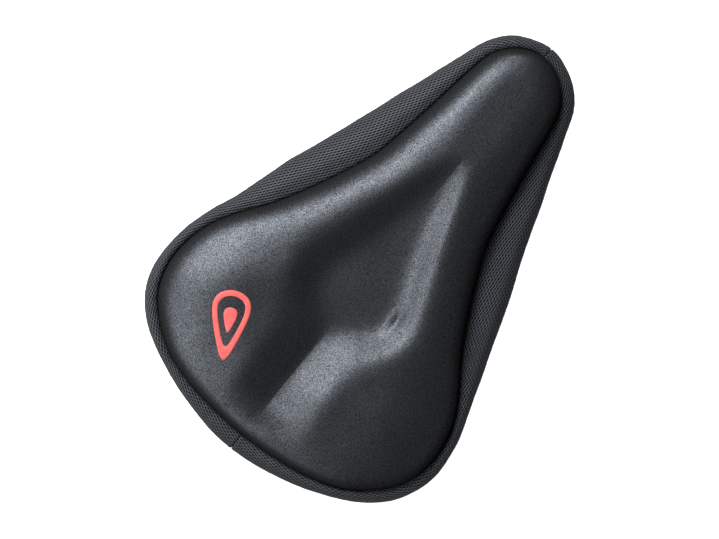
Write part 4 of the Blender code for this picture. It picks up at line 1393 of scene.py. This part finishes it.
# ================================================================ cord lock
# It lies along y, with the closed end of the barrel to the right. Profiles: radius, y
BARREL_R, BORE_R, BUTTON_R = 7.5, 5.7, 5.4
BARREL_FLOOR, BUTTON_FOOT = -10.6, -3.6
RING_START, RING_PITCH, RINGS, RING_R = -8.8, 1.15, 6, 7.22  # grip grooves
BARREL_CLOSED_END = [
    (0, -12.2), (4.6, -12.2), (5.9, -12.1), (6.8, -11.7), (7.3, -11.0), (BARREL_R, -10.2),
]  # fmt: skip
BARREL_MOUTH = [
    (BARREL_R, 5.5), (7.35, 6.1), (6.95, 6.45), (6.4, 6.5), (5.95, 6.4), (BORE_R, 6.0),
    (BORE_R, -10.3), (5.4, BARREL_FLOOR), (0, BARREL_FLOOR),
]  # fmt: skip
BUTTON_PROFILE = [
    (0, BUTTON_FOOT), (4.9, BUTTON_FOOT), (BUTTON_R, -3.2), (BUTTON_R, 10.2), (5.3, 10.9),
    (5.0, 11.5), (4.5, 12.0), (3.9, 12.25), (3.4, 12.2), (3.1, 11.95), (2.2, 11.85),
    (0, 11.8),
]  # fmt: skip
LOCK_CENTRE = (LOCK_X, 0, LOCK_Z)
CORD_HOLE_H, CORD_HOLE_CORNER = 7.6, 1.7
CATCH_SIZE, CATCH_Y, CATCH_OUT = (2.0, 1.2, 2.6), -2.7, 5.3
SPRING_R, SPRING_WIRE_R, SPRING_TURNS = 3.9, 0.4, 4.5
SPRING_GAP = 0.7  # from the ends of the coil to the barrel's floor and the button's foot


def make_barrel():
    profile = list(BARREL_CLOSED_END)
    for k in range(RINGS):
        y = RING_START + k * RING_PITCH
        profile += [(BARREL_R, y), (RING_R, y + 0.25), (RING_R, y + 0.5), (BARREL_R, y + 0.75)]
    profile += BARREL_MOUTH
    barrel = lathe("lock_barrel", profile, 96, PLASTIC, "y", LOCK_CENTRE)
    cut(barrel, (24, 3.7, CORD_HOLE_H), LOCK_CENTRE, CORD_HOLE_CORNER)
    # slots above and below for the catches
    cut(barrel, (2.6, 5.3, 24), (LOCK_X, -4.45, LOCK_Z), 0.6)
    keep_edges(barrel)
    register(barrel, "cord_lock_barrel", part="cord_lock")


def make_button():
    button = lathe("lock_button", BUTTON_PROFILE, 96, PLASTIC, "y", LOCK_CENTRE)
    cut(button, (20, 7.2, CORD_HOLE_H), (LOCK_X, 1.75, LOCK_Z), CORD_HOLE_CORNER)
    keep_edges(button)
    register(button, "cord_lock_plunger", part="plunger")


def make_catches():
    """Two small blocks on the button, above and below."""
    items = []
    for sign in (1, -1):
        bm = bmesh.new()
        bmesh.ops.create_cube(bm, size=1.0)
        bmesh.ops.scale(bm, vec=CATCH_SIZE, verts=bm.verts)
        bmesh.ops.bevel(
            bm, geom=list(bm.edges), offset=0.22, segments=2, profile=0.5, affect="EDGES"
        )
        at = (LOCK_X, CATCH_Y, LOCK_Z + sign * CATCH_OUT)
        bmesh.ops.translate(bm, vec=at, verts=bm.verts)
        bm.verts.ensure_lookup_table()
        verts = np.array([v.co[:] for v in bm.verts])
        faces = [tuple(v.index for v in face.verts) for face in bm.faces]
        bm.free()
        items.append((verts, faces))
    catches = many("button_catches", items, PLASTIC)
    register(catches, part="plunger")


def make_spring():
    t = np.linspace(0, 1, 180)
    start, end = BARREL_FLOOR + SPRING_GAP, BUTTON_FOOT - SPRING_GAP
    angle = TURN * SPRING_TURNS * t
    coil = np.stack(
        [LOCK_X + SPRING_R * np.cos(angle), start + (end - start) * t,
         LOCK_Z + SPRING_R * np.sin(angle)], 1,
    )  # fmt: skip
    spring = tube("lock_spring", coil, SPRING_WIRE_R, STEEL, segments=12)
    register(spring, "cord_lock_spring", part="cord_lock")
    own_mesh(spring)


# ================================================================ badge, printed on the top
BADGE_CENTRE, BADGE_TURN = (-86.2, 42.9), math.radians(209)
FILM_LIFT, FILM_EDGE_LIFT, FILM_SUNK = 0.22, 0.08, 0.25  # off the top's surface


def drop_outline(scale, count, shift=0.0):
    """A drop shape, its point along +, as (along, across)."""
    angle = np.linspace(0, TURN, count, endpoint=False)
    tip = 0.5 * (1 + np.cos(angle))
    along = 10.0 * scale * np.cos(angle) + 18.0 * scale * tip**3 - 8.0 * scale + shift
    across = 11.4 * scale * np.sin(angle) * (1 - 0.44 * tip**2)
    return np.stack([along, across], 1)


def print_sheet(name, outer, inner, steps, closed_centre, replaces):
    """A thin film that follows the top, with loops at steps of the way inwards."""
    c, s = math.cos(BADGE_TURN), math.sin(BADGE_TURN)
    plan = np.stack([outer + (inner - outer) * t for t in steps], 1)
    x = BADGE_CENTRE[0] + plan[..., 0] * c - plan[..., 1] * s
    y = BADGE_CENTRE[1] + plan[..., 0] * s + plan[..., 1] * c
    z = top_surface(x, y)
    n, m = x.shape
    lift = np.full(m, FILM_LIFT)
    lift[0] = FILM_EDGE_LIFT
    if not closed_centre:
        lift[-1] = FILM_EDGE_LIFT
    top = np.stack([x, y, z + lift[None, :]], 2)
    low = np.stack([x, y, z - FILM_SUNK], 2)
    count = n * m
    faces = grid_faces(n, m, closed_n=True)
    faces += grid_faces(n, m, offset=count, closed_n=True, flip=True)
    for k in range(n):
        a, a2 = k * m, (k + 1) % n * m
        faces.append((a, a2, count + a2, count + a))
        if not closed_centre:
            a, a2 = a + m - 1, a2 + m - 1
            faces.append((a, count + a, count + a2, a2))
    if closed_centre:
        faces.append(range(m - 1, count, m))
        faces.append([count + k * m + m - 1 for k in reversed(range(n))])
    verts = np.concatenate([top.reshape(-1, 3), low.reshape(-1, 3)])
    obj = mesh_object(name, verts, faces, PRINT, verts[:, :2])
    register(obj, replaces)


def make_badge():
    """A drop within the outline of a larger drop."""
    print_sheet(
        "badge_line", drop_outline(1.0, 260), drop_outline(0.72, 260, shift=-1.9),
        (0, 0.06, 0.35, 0.65, 0.94, 1), closed_centre=False, replaces="badge_outline",
    )  # fmt: skip
    core = drop_outline(0.36, 160, shift=-2.2)
    print_sheet(
        "badge_core", core, core.mean(0), (0, 0.06, 0.3, 0.6, 0.88),
        closed_centre=True, replaces="badge_drop",
    )  # fmt: skip


# ================================================================ floor, light, camera
# Sizes and places of the lights and the floor are in metres.
LIGHT_DISTANCE, LIGHT_TARGET = 1.9, (0, 0, 0.02)
SENSOR_W, LENS = 36.0, 200.0
VIEW_W, VIEW_Z = 391.5, 18.0  # width of the view at this height, in millimetres
VIEW_X, VIEW_Y = -19.6, 6.3


def make_floor():
    bpy.ops.mesh.primitive_plane_add(size=8.0, location=(0, 0, -0.0002))
    floor = bpy.context.object
    floor.name = "floor"
    mat = Shader("pale_floor")
    cloud = mat.noise(mat.place(), size=400.0)
    colour = mat.mix(cloud, low=(0.86, 0.86, 0.865), high=(0.9, 0.9, 0.9))
    floor.data.materials.append(mat.set(color=colour, roughness=0.9, specular=0.1))
    # it is seen but throws no light back, as if it lay far below the object
    floor.visible_diffuse = False
    floor.visible_glossy = False
    return floor


def area(name, at, target, size, power, colour=(1, 1, 1), only_on=None):
    """A rectangular light; with only_on it falls on that object alone."""
    data = bpy.data.lights.new(name, "AREA")
    data.shape = "RECTANGLE"
    data.size, data.size_y = size
    data.energy = power
    data.color = colour
    data.spread = math.pi
    obj = new_object(name, data)
    obj.location = at
    obj.rotation_mode = "QUATERNION"
    obj.rotation_quaternion = (Vector(target) - Vector(at)).to_track_quat("-Z", "Y")
    if only_on:
        group = bpy.data.collections.new(name + "_on")
        group.objects.link(only_on)
        obj.light_linking.receiver_collection = group


def studio_light(name, azimuth, elevation, **settings):
    """A light round the object. Azimuth 0 is +Y (its left) and 90 is +X (its nose)."""
    a, e = math.radians(azimuth), math.radians(elevation)
    at = (
        LIGHT_DISTANCE * math.sin(a) * math.cos(e),
        LIGHT_DISTANCE * math.cos(a) * math.cos(e),
        LIGHT_DISTANCE * math.sin(e),
    )
    area(name, at, LIGHT_TARGET, **settings)


def make_lights(floor):
    studio_light("key", 14, 44, size=(1.5, 0.44), power=51, colour=(0.99, 0.985, 1.0))
    studio_light("key_rear", -58, 42, size=(1.0, 0.44), power=17.5, colour=(0.985, 0.985, 1.0))
    area("top", at=(0.0, 0.25, 2.0), target=(0, 0, 0), size=(0.9, 0.9), power=0.3,
         colour=(0.96, 0.98, 1.0))  # fmt: skip
    # a low fill for each half of the side band: side, azimuth, elevation, power
    for word, azimuth, elevation, power in (("right", 180, 23, 14), ("left", 0, 12, 7)):
        band = bpy.data.objects["mesh_band_" + word]
        studio_light("band_fill_" + word, azimuth, elevation, size=(1.6, 1.5), power=power,
                     only_on=band)  # fmt: skip
    # low ones that open up the top's edge: place, azimuth, elevation, size, power
    for word, azimuth, elevation, size, power in (
        ("rear", -82, 22, (1.6, 0.7), 6.5),
        ("right", 180, 16, (1.6, 0.9), 1.0),
        ("nose", 52, 15, (0.45, 0.4), 8),
    ):
        studio_light("top_fill_" + word, azimuth, elevation, size=size, power=power,
                     colour=(0.985, 0.975, 1.0), only_on=bpy.data.objects["top_cover"])  # fmt: skip
    area("floor_wash", at=(0.0, 0.0, 2.6), target=(0, 0, 0), size=(3.0, 3.0), power=230,
         only_on=floor)  # fmt: skip


def make_world():
    world = bpy.data.worlds.new("studio")
    bpy.context.scene.world = world
    world.use_nodes = True
    nodes, link = world.node_tree.nodes, world.node_tree.links.new
    dim = nodes["Background"]
    dim.inputs["Color"].default_value = (0.97, 0.98, 1.0, 1)
    dim.inputs["Strength"].default_value = 0.10
    # past the edge of the floor a low view sees a white backdrop, which gives no light itself
    white = nodes.new("ShaderNodeBackground")
    white.inputs["Color"].default_value = (1, 1, 1, 1)
    white.inputs["Strength"].default_value = 1.1
    path = nodes.new("ShaderNodeLightPath")
    either = nodes.new("ShaderNodeMixShader")
    link(path.outputs["Is Camera Ray"], either.inputs[0])
    link(dim.outputs[0], either.inputs[1])
    link(white.outputs[0], either.inputs[2])
    link(either.outputs[0], nodes["World Output"].inputs["Surface"])


def make_camera():
    """Looks straight down, with the nose to the upper right."""
    camera = new_object("camera", bpy.data.cameras.new("camera"))
    camera.data.sensor_width = SENSOR_W
    camera.data.lens = LENS
    distance = LENS / SENSOR_W * VIEW_W
    camera.location = (VIEW_X * MM, VIEW_Y * MM, (VIEW_Z + distance) * MM)
    camera.rotation_euler = (0, 0, math.radians(-51.25))
    camera.data.clip_end = 100
    bpy.context.scene.camera = camera


# ================================================================ build
make_top()
make_foam()
for side, word in SIDES:
    make_gel(side, word)
make_lining()
make_dots()
left_band, _ = [make_band(side, word) for side, word in SIDES]
make_closing_stitches("nose", left_band[-1], outward=1)
make_closing_stitches("rear", left_band[0], outward=-1)
make_binding()
make_top_seam()
for side, word in SIDES:
    make_hem(side, word)
make_cord()
make_barrel()
make_button()
make_catches()
make_spring()
make_badge()

make_lights(make_floor())
make_world()
view = bpy.context.scene.view_settings
view.view_transform = "Standard"
view.look = "None"
view.exposure = 0.0
make_camera()
